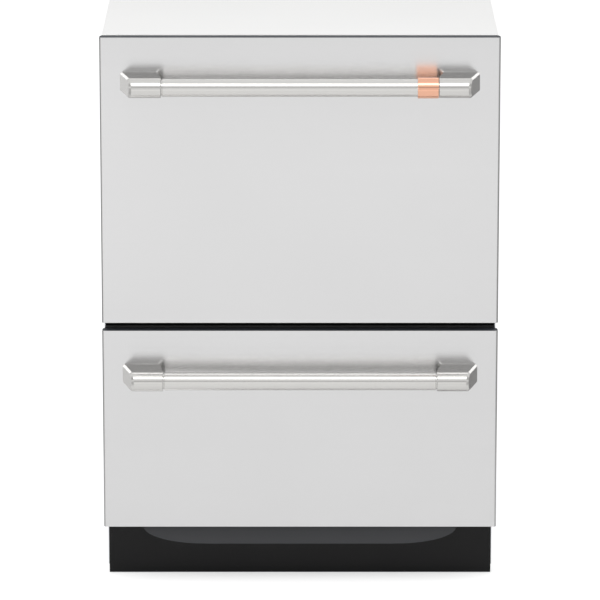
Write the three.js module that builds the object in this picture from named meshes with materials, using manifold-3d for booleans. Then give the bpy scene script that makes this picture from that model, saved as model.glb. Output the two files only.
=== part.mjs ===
// A built-in dishwasher with two drawers, one above the other, both closed.
// Millimetres. +X is to the right of someone who faces the doors, +Y runs to the back and +Z up.
// The origin is on the floor, under the middle of the whole object, handles included.
import * as THREE from "three";
import { mergeVertices } from "three/addons/utils/BufferGeometryUtils.js";
import Module from "manifold-3d";

const wasm = await Module();
wasm.setup();

// ---------------------------------------------------------------- driving sizes

// Outside
const doorWidth = 598;
const bodyDepth = 571; // door face to back panel
const handleReach = 60; // door face to the front of the handles

// Fits
const seatGap = 0.3; // between two pieces that touch
const slideGap = 0.5; // room for the balls between two slide members
const roundSides = 24; // sides of a round piece
const smallRoundSides = 16; // sides of a small round piece
const barSides = 32;

// Doors, from the floor up
const toeSpace = 100; // floor to the lower door
const lowerDoorHeight = 309;
const doorGap = 12;
const upperDoorHeight = 438;
const topDoorDrop = 1; // cabinet top to the upper door's top
const doorThickness = 20;
const panelSheet = 1.2;
const panelReturn = 14; // depth of the steel's folded sides
const panelCorner = 3;
const capHeight = 3;
const capCorner = 7;

// Handles
const barDiameter = 27;
const handleDrop = 67; // door top to the bar's axis
const bracketHeight = 30;
const bracketInset = 30.5; // door's edge to the bracket's foot
const bracketWidth = 48; // at the bar
const bracketOuterSlant = 14.5; // how far the outer side leans in from the door to the bar
const bracketInnerSlant = 8; // the same for the inner side
const bracketChamfer = 3;
const bandWidth = 31;
const bandThickness = 1.5;

// Cabinet
const doorOverhang = 3; // door's edge beyond the cabinet's side
const sheet = 1.5;
const doorToCabinet = 2; // clearance behind the doors
const footHeight = 14; // floor to base pan
const toeDepth = 86; // door face to toe kick
const kickDrop = 2; // lower door to the top of the toe kick
const kickInset = 1; // cabinet's side to the end of the toe kick
const kickLift = 1;
const kickEar = 14; // depth of the ears that hold the toe kick
const panFlange = 26;
const flange = 12;
const shelfDrop = 9; // upper door's bottom to the shelf's top

// Feet
const footPadRadius = 21;
const footPadHeight = 6;
const footPadEdge = 2;
const footNutRadius = 9.5;
const footStudRadius = 5;
const footStudLength = 34; // above the underside of the base pan
const footInset = 32;
const frontFootSetback = 28;

// Tubs
const bellyHang = 33; // lower door's bottom to the underside of its tub
const upperBellyLift = 18; // shelf to the underside of the upper tub
const bayHeight = 51; // a tub's underside to its floor
const tubSetback = 50; // door's back to the tub's front wall
const tubToBack = 66; // tub's back wall to the back panel
const tubWall = 2.5;
const tubTaper = 23; // how much narrower each side of the belly is than the rim
const tubCorner = 36;
const floorFillet = 18;
const rimFlange = 8;
const apronGap = 10.7; // tub's side to the apron that carries the runner
const apronDrop = 62;

// Belly under each tub
const bellyCornerWidth = 95;
const bellyCornerHeight = 27;
const bellyCorner = 7.5; // radius of its upright corners
const bellyLip = 4;
const bellyClearance = 4; // between belly and toe kick

// Drawer slides
const slideToBack = 27; // slide's end to the back panel
const slideFrontInset = 4;
const slideCentreDrop = 40; // rim to the slide's middle
const slideSheet = 1.6;
const railHeight = 44;
const railFlange = 15;
const middleStep = 3; // how much further in the middle member's flanges end than the rail's
const runnerStep = 1.4; // middle member's flange ends to the runner's web
const middleInset = 7; // how much shorter the middle member is at each end

// Lid and its lift, from the rim up
const lidTravel = 6;
const sealHeight = 5.7;
const lidThickness = 10;
const postBoss = 3;
const beamHeight = 10;
const liftMotorHeight = 6;
const liftRoom = 3.2; // lift motor to the panel above it
const sealWidth = 8;
const lidOverlap = 8; // beyond the tub's inside, each way
const postRadius = 5;
const postBossRadius = 10;
const postSpacing = 300;
const socketFloor = 2;
const beamDepth = 30;
const liftMotorWidth = 90;

// Ledge with the buttons, behind each door
const ledgeRise = 2; // rim to the ledge's top
const ledgeThickness = 2.5;
const ledgeInset = 4; // tub's side to the end of the ledge
const gussetCount = 4;
const gussetHeight = 40;
const gussetThickness = 3;
const buttonCount = 3;
const buttonPitch = 25;
const firstButtonX = 120;
const buttonLength = 16;
const buttonWidth = 9;
const buttonTravel = 1;
const buttonProud = 0.5; // above the ledge when pressed
const buttonLip = 1.5;
const buttonFit = 0.3;
const buttonWellDepth = 20;
const buttonWellWall = 2;

// Detergent dispenser on the tub's front wall
const coverLength = 60;
const coverTravel = 60;
const coverThickness = 2.4;
const dispenserHeight = 64;
const dispenserDepth = 18;
const dispenserDrop = 36; // rim to the dispenser's top
const dispenserWall = 2;
const trackEnd = 2;
const trackSpare = 8;
const cupEndWall = 3;
const cupFloor = 3;
const slotHeight = 3;
const slotLip = 1.5; // how far each lip reaches over the cover
const slotRoof = 2; // thickness of the lips
const gripRise = 4; // above the dispenser's top
const gripWidth = 4;

// Spray arm and wash motor
const spindleRadius = 6;
const spindleFit = 0.35;
const spindleHoleFit = 0.6;
const spindleCollar = 10;
const spindleRise = 2;
const armLift = 6; // floor to the arm's hub
const armSideGap = 12.5; // tub's wall to the arm's tip
const armHubRadius = 22;
const armHubHeight = 20;
const armRootWidth = 54;
const armTipWidth = 34;
const armThickness = 9;
const motorRadius = 75;
const motorRim = 8;
const motorLift = 6.2; // tub's underside to the motor

// Dish rack
const rackWire = 4;
const rackRim = 6;
const tineWire = 3;
const rackSideGap = 9;
const rackFrontGap = 9; // dispenser to rack
const rackBackGap = 8;
const rackArmGap = 6; // spindle's top to the rack
const rackTopDrop = 26; // rim to the rack's top
const rackLongWires = 7;
const rackCrossWires = 6;
const tineRows = 2;
const tinesPerRow = 6;
const tineHeight = 70;
const rackLegInset = 26;

// Services at the back, on the base pan and behind it
const serviceLift = 31; // base pan's flange to the middle of the fittings
const valveInset = 66; // cabinet's side to the inlet
const drainSpacing = 60; // inlet to drain
const terminalInset = 106;
const valveSpigotRadius = 13;
const drainSpigotRadius = 11;
const spigotWall = 4;
const valveBody = 46;
const valveDepth = 40;
const solenoidRadius = 14;
const solenoidHeight = 34;
const drainBody = 34;
const drainDepth = 26;
const terminalWidth = 90;
const terminalHeight = 60;
const terminalDepth = 32;
const terminalWall = 3;
const glandRadius = 10;
const serviceFit = 1;
const controlWidth = 160;
const controlDepth = 110;
const controlSetback = 60; // toe kick to the control module
const controlGap = 17.2; // control module to the tub above it

// ---------------------------------------------------------------- places that follow from them

const handleFrontY = -(bodyDepth + handleReach) / 2;
const doorFaceY = handleFrontY + handleReach;
const doorBackY = doorFaceY + doorThickness;
const backY = doorFaceY + bodyDepth;
const cabinetFrontY = doorBackY + doorToCabinet;
const kickY = doorFaceY + toeDepth;
const halfDoor = doorWidth / 2;
const halfCabinet = halfDoor - doorOverhang;
const insideHalf = halfCabinet - sheet;
const foldFrontY = backY - 2 * (sheet + seatGap); // in front of the side panels' back folds

const barRadius = barDiameter / 2;
const handleAxisY = handleFrontY + bracketHeight / 2;
const bracketOuterFoot = halfDoor - bracketInset;
const bracketOuter = bracketOuterFoot - bracketOuterSlant;
const bracketInner = bracketOuter - bracketWidth;
const bracketInnerFoot = bracketInner + bracketInnerSlant;

const lowerDoorTop = toeSpace + lowerDoorHeight;
const upperDoorBottom = lowerDoorTop + doorGap;
const upperDoorTop = upperDoorBottom + upperDoorHeight;
const totalHeight = upperDoorTop + topDoorDrop;
const toeHeight = toeSpace - kickDrop;
const shelfTop = upperDoorBottom - shelfDrop;
const sideTop = totalHeight - sheet - seatGap;

// From a tub's rim to the top of the lift motor over its lid
const lidRise = seatGap + lidTravel + sealHeight;
const beamRise = lidRise + lidThickness + postBoss + seatGap;
const liftHeight = beamRise + beamHeight + liftMotorHeight;

// The two drawers differ only in these heights
const upper = {
  name: "upper",
  rim: totalHeight - sheet - liftRoom - liftHeight,
  floor: shelfTop + upperBellyLift + bayHeight,
  doorBottom: upperDoorBottom,
  doorTop: upperDoorTop,
};
const lower = {
  name: "lower",
  rim: shelfTop - sheet - liftRoom - liftHeight,
  floor: toeSpace - bellyHang + bayHeight,
  doorBottom: toeSpace,
  doorTop: lowerDoorTop,
};

// Slide members, from the cabinet's side inwards
const railWebX = insideHalf - seatGap;
const middleWebX = railWebX - slideSheet - slideGap;
const runnerEndX = middleWebX - slideSheet - slideGap;
const middleHeight = railHeight - 2 * (slideSheet + slideGap);
const runnerHeight = middleHeight - 2 * (slideSheet + slideGap);
const railEndX = railWebX - railFlange;
const middleEndX = railEndX - middleStep;
const runnerWebX = middleEndX - runnerStep - slideSheet;
const slideFrontY = doorBackY + slideFrontInset;
const slideBackY = backY - slideToBack;

const apronX = runnerWebX - seatGap;
const rimHalfWidth = apronX - apronGap;
const bellyHalfWidth = rimHalfWidth - tubTaper;
const bellyFlat = bellyHalfWidth - bellyCornerWidth;
const tubFrontY = doorBackY + tubSetback;
const tubBackY = backY - tubToBack;
const bellyFrontY = doorBackY + seatGap;
const armY = (tubFrontY + tubBackY) / 2;
const armRadius = (tubBackY - tubFrontY) / 2 - armSideGap;

const ledgeHalfWidth = rimHalfWidth - ledgeInset;
const ledgeBackY = tubFrontY - rimFlange - seatGap;
const buttonY = (doorBackY + ledgeBackY) / 2;
const buttonPlaces = Array.from({ length: buttonCount }, (_, i) => firstButtonX + i * buttonPitch);

// The dispenser, from the tub's front wall inwards
const dispenserHalfWidth = (trackEnd + coverLength + coverTravel + trackSpare) / 2;
const dispenserWallY = tubFrontY + tubWall;
const dispenserFaceY = dispenserWallY + dispenserDepth;
const slotY = [dispenserWallY + dispenserWall, dispenserFaceY - dispenserWall];
const cupY = [slotY[0] + slotLip, slotY[1] - slotLip];

const lidHalf = rimHalfWidth - tubWall + lidOverlap;
const lidFrontY = tubFrontY + tubWall - lidOverlap;
const lidBackY = tubBackY - tubWall + lidOverlap;

const serviceBackY = backY - sheet - seatGap;
const serviceHeight = footHeight + panFlange + serviceLift;
const valveX = valveInset - halfCabinet;
const drainX = valveX + drainSpacing;
const terminalX = halfCabinet - terminalInset;

// ---------------------------------------------------------------- shaping helpers

// A closed geometry as a solid that can be cut and joined.
function toSolid(geometry) {
  geometry.deleteAttribute("normal");
  geometry.deleteAttribute("uv");
  const merged = mergeVertices(geometry, 1e-4);
  const mesh = new wasm.Mesh({
    numProp: 3,
    vertProperties: new Float32Array(merged.attributes.position.array),
    triVerts: new Uint32Array(merged.index.array),
  });
  mesh.merge();
  return new wasm.Manifold(mesh);
}

// The solid as a geometry again.
function toGeometry(solid) {
  const mesh = solid.getMesh();
  const geometry = new THREE.BufferGeometry();
  geometry.setAttribute("position", new THREE.BufferAttribute(new Float32Array(mesh.vertProperties), 3));
  geometry.setIndex(new THREE.BufferAttribute(new Uint32Array(mesh.triVerts), 1));
  geometry.computeVertexNormals();
  return geometry;
}

function joined(solids) {
  return solids.reduce((whole, piece) => whole.add(piece));
}

// A block between two values on each axis.
function block([x0, x1], [y0, y1], [z0, z1]) {
  const geometry = new THREE.BoxGeometry(x1 - x0, y1 - y0, z1 - z0);
  geometry.translate((x0 + x1) / 2, (y0 + y1) / 2, (z0 + z1) / 2);
  return toSolid(geometry);
}

// An outline pushed along an axis. It is drawn in (x, y) for z, in (y, z) for x and in (x, z) for y.
function prism(shape, axis, from, to) {
  const options = { depth: to - from, bevelEnabled: false, curveSegments: 8 };
  const geometry = new THREE.ExtrudeGeometry(shape, options);
  const frame = new THREE.Matrix4();
  if (axis === "x") {
    frame.makeBasis(new THREE.Vector3(0, 1, 0), new THREE.Vector3(0, 0, 1), new THREE.Vector3(1, 0, 0));
    frame.setPosition(from, 0, 0);
  } else if (axis === "y") {
    frame.makeBasis(new THREE.Vector3(1, 0, 0), new THREE.Vector3(0, 0, 1), new THREE.Vector3(0, -1, 0));
    frame.setPosition(0, to, 0);
  } else {
    frame.setPosition(0, 0, from);
  }
  geometry.applyMatrix4(frame);
  return toSolid(geometry);
}

// A round bar along an axis, centred on the other two coordinates, given in their X, Y, Z order.
function rod(radius, axis, [a, b], from, to, sides = roundSides) {
  const geometry = new THREE.CylinderGeometry(radius, radius, to - from, sides);
  const middle = (from + to) / 2;
  if (axis === "x") {
    geometry.rotateZ(-Math.PI / 2).translate(middle, a, b);
  } else if (axis === "y") {
    geometry.translate(a, middle, b);
  } else {
    geometry.rotateX(Math.PI / 2).translate(a, b, middle);
  }
  return toSolid(geometry);
}

// An upright turned piece from (radius, height) points that start and end on the axis.
function turned(points, [x, y], sides) {
  const profile = points.map(([radius, height]) => new THREE.Vector2(radius, height));
  const geometry = new THREE.LatheGeometry(profile, sides);
  geometry.rotateX(Math.PI / 2).translate(x, y, 0);
  return toSolid(geometry);
}

function outline(points) {
  return new THREE.Shape(points.map(([u, v]) => new THREE.Vector2(u, v)));
}

// The points of a level rectangle with round corners, anticlockwise from above.
function roundedRing(half, y0, y1, radius, z, steps = 4) {
  const corners = [
    [half - radius, y1 - radius, 0],
    [-half + radius, y1 - radius, 1],
    [-half + radius, y0 + radius, 2],
    [half - radius, y0 + radius, 3],
  ];
  const points = [];
  for (const [x, y, quarter] of corners) {
    for (let step = 0; step <= steps; step += 1) {
      const angle = ((quarter + step / steps) * Math.PI) / 2;
      points.push([x + radius * Math.cos(angle), y + radius * Math.sin(angle), z]);
    }
  }
  return points;
}

// A solid skinned over rings of equal length, from the lowest to the highest.
function skinned(rings) {
  const count = rings[0].length;
  const index = [];
  for (let level = 0; level + 1 < rings.length; level += 1) {
    for (let i = 0; i < count; i += 1) {
      const next = (i + 1) % count;
      const a = level * count + i;
      const b = level * count + next;
      index.push(a, b, b + count, a, b + count, a + count);
    }
  }
  const top = (rings.length - 1) * count;
  for (let i = 1; i + 1 < count; i += 1) {
    index.push(0, i + 1, i);
    index.push(top, top + i, top + i + 1);
  }
  const geometry = new THREE.BufferGeometry();
  geometry.setAttribute("position", new THREE.Float32BufferAttribute(rings.flat(2), 3));
  geometry.setIndex(index);
  return toSolid(geometry);
}

// A level plate with round corners.
function plate(half, y0, y1, radius, z0, z1) {
  return skinned([roundedRing(half, y0, y1, radius, z0), roundedRing(half, y0, y1, radius, z1)]);
}

function mirrored(solid) {
  return solid.mirror([1, 0, 0]);
}

// ---------------------------------------------------------------- finishes

const finishes = {
  brushedSteel: { color: 0xd6d4d0, roughness: 0.32, metalness: 1 },
  handleSteel: { color: 0xc9c5bf, roughness: 0.24, metalness: 1 },
  copper: { color: 0xb5673f, roughness: 0.3, metalness: 1 },
  capPlastic: { color: 0x5a5e66, roughness: 0.5, metalness: 0 },
  tubPlastic: { color: 0x3b3c3e, roughness: 0.55, metalness: 0 },
  kickPaint: { color: 0x17181a, roughness: 0.3, metalness: 0 },
  whitePaint: { color: 0xf2f2f0, roughness: 0.6, metalness: 0 },
  galvanised: { color: 0xb4b7ba, roughness: 0.45, metalness: 1 },
  slideSteel: { color: 0x9a9da0, roughness: 0.35, metalness: 1 },
  rackCoat: { color: 0x8a8d91, roughness: 0.5, metalness: 0 },
  armPlastic: { color: 0x6b6e72, roughness: 0.45, metalness: 0 },
  lidPlastic: { color: 0xc8cacc, roughness: 0.5, metalness: 0 },
  seal: { color: 0x3a3c3e, roughness: 0.8, metalness: 0 },
  blackPlastic: { color: 0x202224, roughness: 0.5, metalness: 0 },
  servicePlastic: { color: 0xe4e2da, roughness: 0.5, metalness: 0 },
};

const dishwasher = new THREE.Group();

// Adds a solid to the object under the name of its sub-part.
function addPart(name, solid, finish) {
  const mesh = new THREE.Mesh(toGeometry(solid), new THREE.MeshStandardMaterial(finish));
  mesh.name = name;
  dishwasher.add(mesh);
}

// ---------------------------------------------------------------- cabinet

// The right side panel: notched for the toe space and folded inwards along its back edge.
function sidePanel() {
  const notchY = kickY + sheet + seatGap;
  const back = backY - sheet - seatGap;
  const face = outline([
    [notchY, footHeight],
    [back, footHeight],
    [back, sideTop],
    [cabinetFrontY, sideTop],
    [cabinetFrontY, toeHeight],
    [notchY, toeHeight],
  ]);
  const fold = block([halfCabinet - flange, halfCabinet], [back - sheet, back], [footHeight, sideTop]);
  return prism(face, "x", insideHalf, halfCabinet).add(fold);
}

// The back panel, with holes for the three fittings.
function backPanel() {
  const y = [backY - sheet, backY];
  let panel = block([-halfCabinet, halfCabinet], y, [footHeight, sideTop]);
  for (const [x, radius] of [
    [valveX, valveSpigotRadius],
    [drainX, drainSpigotRadius],
    [terminalX, glandRadius],
  ]) {
    panel = panel.subtract(rod(radius + serviceFit, "y", [x, serviceHeight], y[0] - 1, y[1] + 1));
  }
  return panel;
}

// The top panel, folded down along its front.
function topPanel() {
  const under = totalHeight - sheet;
  const half = insideHalf - flange;
  return joined([
    block([-halfCabinet, halfCabinet], [cabinetFrontY, backY], [under, totalHeight]),
    block([-half, half], [cabinetFrontY, cabinetFrontY + sheet], [under - flange, totalHeight]),
  ]);
}

const footPlaces = [
  ["foot_front_left", -(halfCabinet - footInset), kickY + frontFootSetback],
  ["foot_front_right", halfCabinet - footInset, kickY + frontFootSetback],
  ["foot_back_left", -(halfCabinet - footInset), backY - footInset],
  ["foot_back_right", halfCabinet - footInset, backY - footInset],
];

// The base pan, folded up on all sides, with a hole for each foot's stud.
function basePan() {
  const half = insideHalf - seatGap;
  const front = kickY + sheet + seatGap;
  const back = foldFrontY;
  const outside = block([-half, half], [front, back], [footHeight, footHeight + panFlange]);
  const inside = block(
    [-half + sheet, half - sheet],
    [front + sheet, back - sheet],
    [footHeight + sheet, footHeight + panFlange + 1],
  );
  const studs = footPlaces.map(([, x, y]) =>
    rod(footStudRadius + seatGap, "z", [x, y], footHeight - 1, footHeight + sheet + 1, smallRoundSides),
  );
  return outside.subtract(inside).subtract(joined(studs));
}

// The shelf between the drawers, folded down along its front and back.
function middleShelf() {
  const half = insideHalf - seatGap;
  const back = foldFrontY;
  const folds = [shelfTop - flange, shelfTop];
  return joined([
    block([-half, half], [cabinetFrontY, back], [shelfTop - sheet, shelfTop]),
    block([-half, half], [cabinetFrontY, cabinetFrontY + sheet], folds),
    block([-half, half], [back - sheet, back], folds),
  ]);
}

// The toe kick, cut out under the lower tub's belly, with ears that fix it inside the side panels.
function toeKick() {
  const half = halfCabinet - kickInset;
  const centre = lower.floor - bayHeight + bellyCornerHeight;
  const face = new THREE.Shape();
  face.moveTo(-half, kickLift);
  face.lineTo(half, kickLift);
  face.lineTo(half, toeHeight);
  face.lineTo(bellyHalfWidth + bellyClearance, toeHeight);
  face.lineTo(bellyHalfWidth + bellyClearance, centre);
  const across = bellyCornerWidth + bellyClearance;
  const down = bellyCornerHeight + bellyClearance;
  face.absellipse(bellyFlat, centre, across, down, 0, -Math.PI / 2, true);
  face.lineTo(-bellyFlat, centre - down);
  face.absellipse(-bellyFlat, centre, across, down, -Math.PI / 2, -Math.PI, true);
  face.lineTo(-(bellyHalfWidth + bellyClearance), toeHeight);
  face.lineTo(-half, toeHeight);
  const ear = block(
    [insideHalf - seatGap - sheet, insideHalf - seatGap],
    [kickY + sheet / 2, kickY + sheet + kickEar],
    [footHeight + panFlange + seatGap, toeHeight - flange],
  );
  return joined([prism(face, "y", kickY, kickY + sheet), ear, mirrored(ear)]);
}

// A levelling foot: pad, nut and stud in one.
function foot(x, y) {
  const nutTop = footHeight - seatGap;
  const profile = [
    [0, 0],
    [footPadRadius, 0],
    [footPadRadius, footPadHeight - footPadEdge],
    [footPadRadius - footPadEdge, footPadHeight],
    [footNutRadius, footPadHeight],
    [footNutRadius, nutTop],
    [footStudRadius, nutTop],
    [footStudRadius, footHeight + footStudLength],
    [0, footHeight + footStudLength],
  ];
  return turned(profile, [x, y], smallRoundSides);
}

// ---------------------------------------------------------------- services at the back

// The water inlet valve: a body with a solenoid on it and a spigot through the back panel.
function inletValve() {
  const axis = [valveX, serviceHeight];
  const middleY = serviceBackY - valveDepth / 2;
  const body = block(
    [valveX - valveBody / 2, valveX + valveBody / 2],
    [serviceBackY - valveDepth, serviceBackY],
    [serviceHeight - valveBody / 2, serviceHeight + valveBody / 2],
  );
  const spigot = rod(valveSpigotRadius, "y", axis, serviceBackY - 1, backY);
  const bore = rod(valveSpigotRadius - spigotWall, "y", axis, middleY, backY + 1);
  const top = serviceHeight + valveBody / 2;
  const solenoid = rod(solenoidRadius, "z", [valveX, middleY], top - 1, top + solenoidHeight);
  return joined([body, spigot, solenoid]).subtract(bore);
}

// The drain outlet: a socket for the drain hose, through the back panel.
function drainOutlet() {
  const axis = [drainX, serviceHeight];
  const body = block(
    [drainX - drainBody / 2, drainX + drainBody / 2],
    [serviceBackY - drainDepth, serviceBackY],
    [serviceHeight - drainBody / 2, serviceHeight + drainBody / 2],
  );
  const spigot = rod(drainSpigotRadius, "y", axis, serviceBackY - 1, backY);
  const bore = rod(drainSpigotRadius - spigotWall, "y", axis, serviceBackY - drainDepth - 1, backY + 1);
  return joined([body, spigot]).subtract(bore);
}

// The mains terminal box, open to the back panel's cable hole.
function terminalBox() {
  const x = [terminalX - terminalWidth / 2, terminalX + terminalWidth / 2];
  const z = [serviceHeight - terminalHeight / 2, serviceHeight + terminalHeight / 2];
  const outside = block(x, [serviceBackY - terminalDepth, serviceBackY], z);
  const inside = block(
    [x[0] + terminalWall, x[1] - terminalWall],
    [serviceBackY - terminalDepth + terminalWall, serviceBackY - terminalWall],
    [z[0] + terminalWall, z[1] - terminalWall],
  );
  const axis = [terminalX, serviceHeight];
  const hole = rod(glandRadius, "y", axis, serviceBackY - terminalWall - 1, serviceBackY + 1);
  return outside.subtract(inside).subtract(hole);
}

// The control module, a closed box that stands on the base pan behind the toe kick.
function controlModule() {
  const half = controlWidth / 2;
  const y0 = kickY + controlSetback;
  return block([-half, half], [y0, y0 + controlDepth], [
    footHeight + sheet + seatGap,
    lower.floor - bayHeight - controlGap,
  ]);
}

// ---------------------------------------------------------------- drawer slides

// A C-shaped member on the right. It opens towards its free edges at x1, from its web at x0.
function channel(x0, x1, height, centre, y0, y1) {
  const t = slideSheet * Math.sign(x1 - x0);
  const h = height / 2;
  const section = outline([
    [x0, centre - h],
    [x1, centre - h],
    [x1, centre - h + slideSheet],
    [x0 + t, centre - h + slideSheet],
    [x0 + t, centre + h - slideSheet],
    [x1, centre + h - slideSheet],
    [x1, centre + h],
    [x0, centre + h],
  ]);
  return prism(section, "y", y0, y1);
}

function rail(drawer) {
  return channel(railWebX, railEndX, railHeight, drawer.rim - slideCentreDrop, slideFrontY, slideBackY);
}

function slideMiddle(drawer) {
  const y0 = slideFrontY + middleInset;
  const y1 = slideBackY - middleInset;
  return channel(middleWebX, middleEndX, middleHeight, drawer.rim - slideCentreDrop, y0, y1);
}

function runner(drawer) {
  return channel(runnerWebX, runnerEndX, runnerHeight, drawer.rim - slideCentreDrop, slideFrontY, slideBackY);
}

// ---------------------------------------------------------------- tub

// Half the tub's outer width at a height: it tapers from the rim to the top of the belly's corners.
function tubHalfWidth(drawer, z) {
  const bellyTop = drawer.floor - bayHeight + bellyCornerHeight;
  return bellyHalfWidth + ((rimHalfWidth - bellyHalfWidth) * (z - bellyTop)) / (drawer.rim - bellyTop);
}

// The belly's shape: a flat underside that curves up to the sides, inset by a wall.
function belly(drawer, inset, top) {
  const bottom = drawer.floor - bayHeight;
  const steps = 6;
  const rings = [];
  for (let step = 0; step <= steps; step += 1) {
    const angle = ((step / steps) * Math.PI) / 2;
    const half = bellyFlat + (bellyCornerWidth - inset) * Math.sin(angle);
    const z = bottom + bellyCornerHeight - (bellyCornerHeight - inset) * Math.cos(angle);
    rings.push(roundedRing(half, bellyFrontY + inset, tubBackY - inset, bellyCorner - inset, z));
  }
  const half = bellyHalfWidth - inset;
  rings.push(roundedRing(half, bellyFrontY + inset, tubBackY - inset, bellyCorner - inset, top));
  return skinned(rings);
}

// The space inside the tub, rounded where the walls meet the floor, open past the rim.
function bowlSpace(drawer) {
  const steps = 3;
  const rings = [];
  for (let step = 0; step <= steps; step += 1) {
    const angle = ((step / steps) * Math.PI) / 2;
    const inset = tubWall + floorFillet * (1 - Math.sin(angle));
    const z = drawer.floor + floorFillet * (1 - Math.cos(angle));
    const half = tubHalfWidth(drawer, z) - inset;
    rings.push(roundedRing(half, tubFrontY + inset, tubBackY - inset, tubCorner - inset, z));
  }
  const above = drawer.rim + 1;
  const half = tubHalfWidth(drawer, above) - tubWall;
  rings.push(roundedRing(half, tubFrontY + tubWall, tubBackY - tubWall, tubCorner - tubWall, above));
  return skinned(rings);
}

// The height of the slot that the dispenser's cover slides in.
function slotBottom(drawer) {
  return drawer.rim - dispenserDrop - slotRoof - slotHeight;
}

// The dispenser's housing on the front wall: a cup that opens upwards, under a slot for its sliding cover.
function dispenserHousing(drawer) {
  const half = dispenserHalfWidth;
  const top = drawer.rim - dispenserDrop;
  const bottom = top - dispenserHeight;
  const track = slotBottom(drawer);
  const open = [-half + trackEnd, half + 1];
  const cupX = [-half + trackEnd + cupEndWall, -half + trackEnd + coverLength - cupEndWall];
  const body = block([-half, half], [dispenserWallY - tubWall / 2, dispenserFaceY], [bottom, top]);
  const slot = block(open, slotY, [track, track + slotHeight]);
  const mouth = block(open, cupY, [track, top + 1]);
  const cup = block(cupX, cupY, [bottom + cupFloor, track + 1]);
  return body.subtract(slot).subtract(mouth).subtract(cup);
}

// The tub: a bowl with a floor, an open skirt under it, and a rim that carries the runners.
function tub(drawer) {
  const floorUnder = drawer.floor - tubWall;
  const bowl = skinned([
    roundedRing(tubHalfWidth(drawer, floorUnder), tubFrontY, tubBackY, tubCorner, floorUnder),
    roundedRing(rimHalfWidth, tubFrontY, tubBackY, tubCorner, drawer.rim),
  ]);
  const rimFrontY = tubFrontY - rimFlange;
  const rimBackY = tubBackY + rimFlange;
  const rim = plate(apronX, rimFrontY, rimBackY, tubCorner, drawer.rim - tubWall, drawer.rim);
  const apron = block(
    [apronX - tubWall, apronX],
    [tubFrontY + tubCorner, tubBackY - tubCorner],
    [drawer.rim - apronDrop, drawer.rim - tubWall / 2],
  );
  const hollow = belly(drawer, tubWall, floorUnder);
  const hatch = block(
    [-bellyFlat + bellyLip, bellyFlat - bellyLip],
    [bellyFrontY + tubWall + bellyLip, tubBackY - tubWall - bellyLip],
    [drawer.floor - bayHeight - 1, drawer.floor - bayHeight + tubWall + 1],
  );
  const spindleHole = rod(spindleRadius + spindleHoleFit, "z", [0, armY], floorUnder - 1, drawer.floor + 1);
  return joined([belly(drawer, 0, drawer.floor), bowl, rim, apron, mirrored(apron)])
    .subtract(bowlSpace(drawer))
    .subtract(hollow)
    .subtract(hatch)
    .subtract(spindleHole)
    .add(dispenserHousing(drawer));
}

// The dispenser's sliding cover, over the cup, with a grip rib.
function dispenserDoor(drawer) {
  const bottom = slotBottom(drawer) + (slotHeight - coverThickness) / 2;
  const left = -dispenserHalfWidth + trackEnd + seatGap;
  const gripX = left + (coverLength - gripWidth) / 2;
  const top = drawer.rim - dispenserDrop + gripRise;
  return joined([
    block([left, left + coverLength], [slotY[0] + seatGap, slotY[1] - seatGap], [
      bottom,
      bottom + coverThickness,
    ]),
    block([gripX, gripX + gripWidth], [cupY[0] + seatGap, cupY[1] - seatGap], [bottom, top]),
  ]);
}

// ---------------------------------------------------------------- wash motor, spray arm and rack

// The flat wash motor under the tub's floor, with the spindle that the spray arm turns on.
function washMotor(drawer) {
  const { floor } = drawer;
  const bottom = floor - bayHeight + motorLift;
  const top = floor - tubWall - seatGap;
  const collarTop = floor + armLift - seatGap;
  const spindleTop = floor + armLift + armHubHeight + spindleRise;
  const profile = [
    [0, bottom],
    [motorRadius - motorRim, bottom],
    [motorRadius, bottom + motorRim],
    [motorRadius, top],
    [spindleRadius, top],
    [spindleRadius, floor + seatGap],
    [spindleCollar, floor + seatGap],
    [spindleCollar, collarTop],
    [spindleRadius, collarTop],
    [spindleRadius, spindleTop],
    [0, spindleTop],
  ];
  return turned(profile, [0, armY], roundSides);
}

// The spray arm: two tapered blades on a hub that turns on the spindle.
function sprayArm(drawer) {
  const bottom = drawer.floor + armLift;
  const tip = armTipWidth / 2;
  const root = armRootWidth / 2;
  const reach = armRadius - tip;
  const blades = new THREE.Shape();
  blades.moveTo(0, -root);
  blades.lineTo(reach, -tip);
  blades.absarc(reach, 0, tip, -Math.PI / 2, Math.PI / 2, false);
  blades.lineTo(0, root);
  blades.lineTo(-reach, tip);
  blades.absarc(-reach, 0, tip, Math.PI / 2, (3 * Math.PI) / 2, false);
  const middle = bottom + armHubHeight / 2;
  const flat = prism(blades, "z", middle - armThickness / 2, middle + armThickness / 2);
  const hub = rod(armHubRadius, "z", [0, armY], bottom, bottom + armHubHeight);
  const bore = rod(spindleRadius + spindleFit, "z", [0, armY], bottom - 1, bottom + armHubHeight + 1);
  return flat.translate([0, armY, 0]).add(hub).subtract(bore);
}

// A square wire bent into a U: across at height z from u0 to u1, and up to the top at both ends.
function bentWire(axis, at, [u0, u1], z, top) {
  const h = rackWire / 2;
  const shape = outline([
    [u0 - h, top],
    [u0 - h, z - h],
    [u1 + h, z - h],
    [u1 + h, top],
    [u1 - h, top],
    [u1 - h, z + h],
    [u0 + h, z + h],
    [u0 + h, top],
  ]);
  return prism(shape, axis, at - h, at + h);
}

// Places for a row of wires, evenly spread between two limits.
function spread(count, from, to) {
  return Array.from({ length: count }, (_, i) => from + ((to - from) * (i + 0.5)) / count);
}

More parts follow.
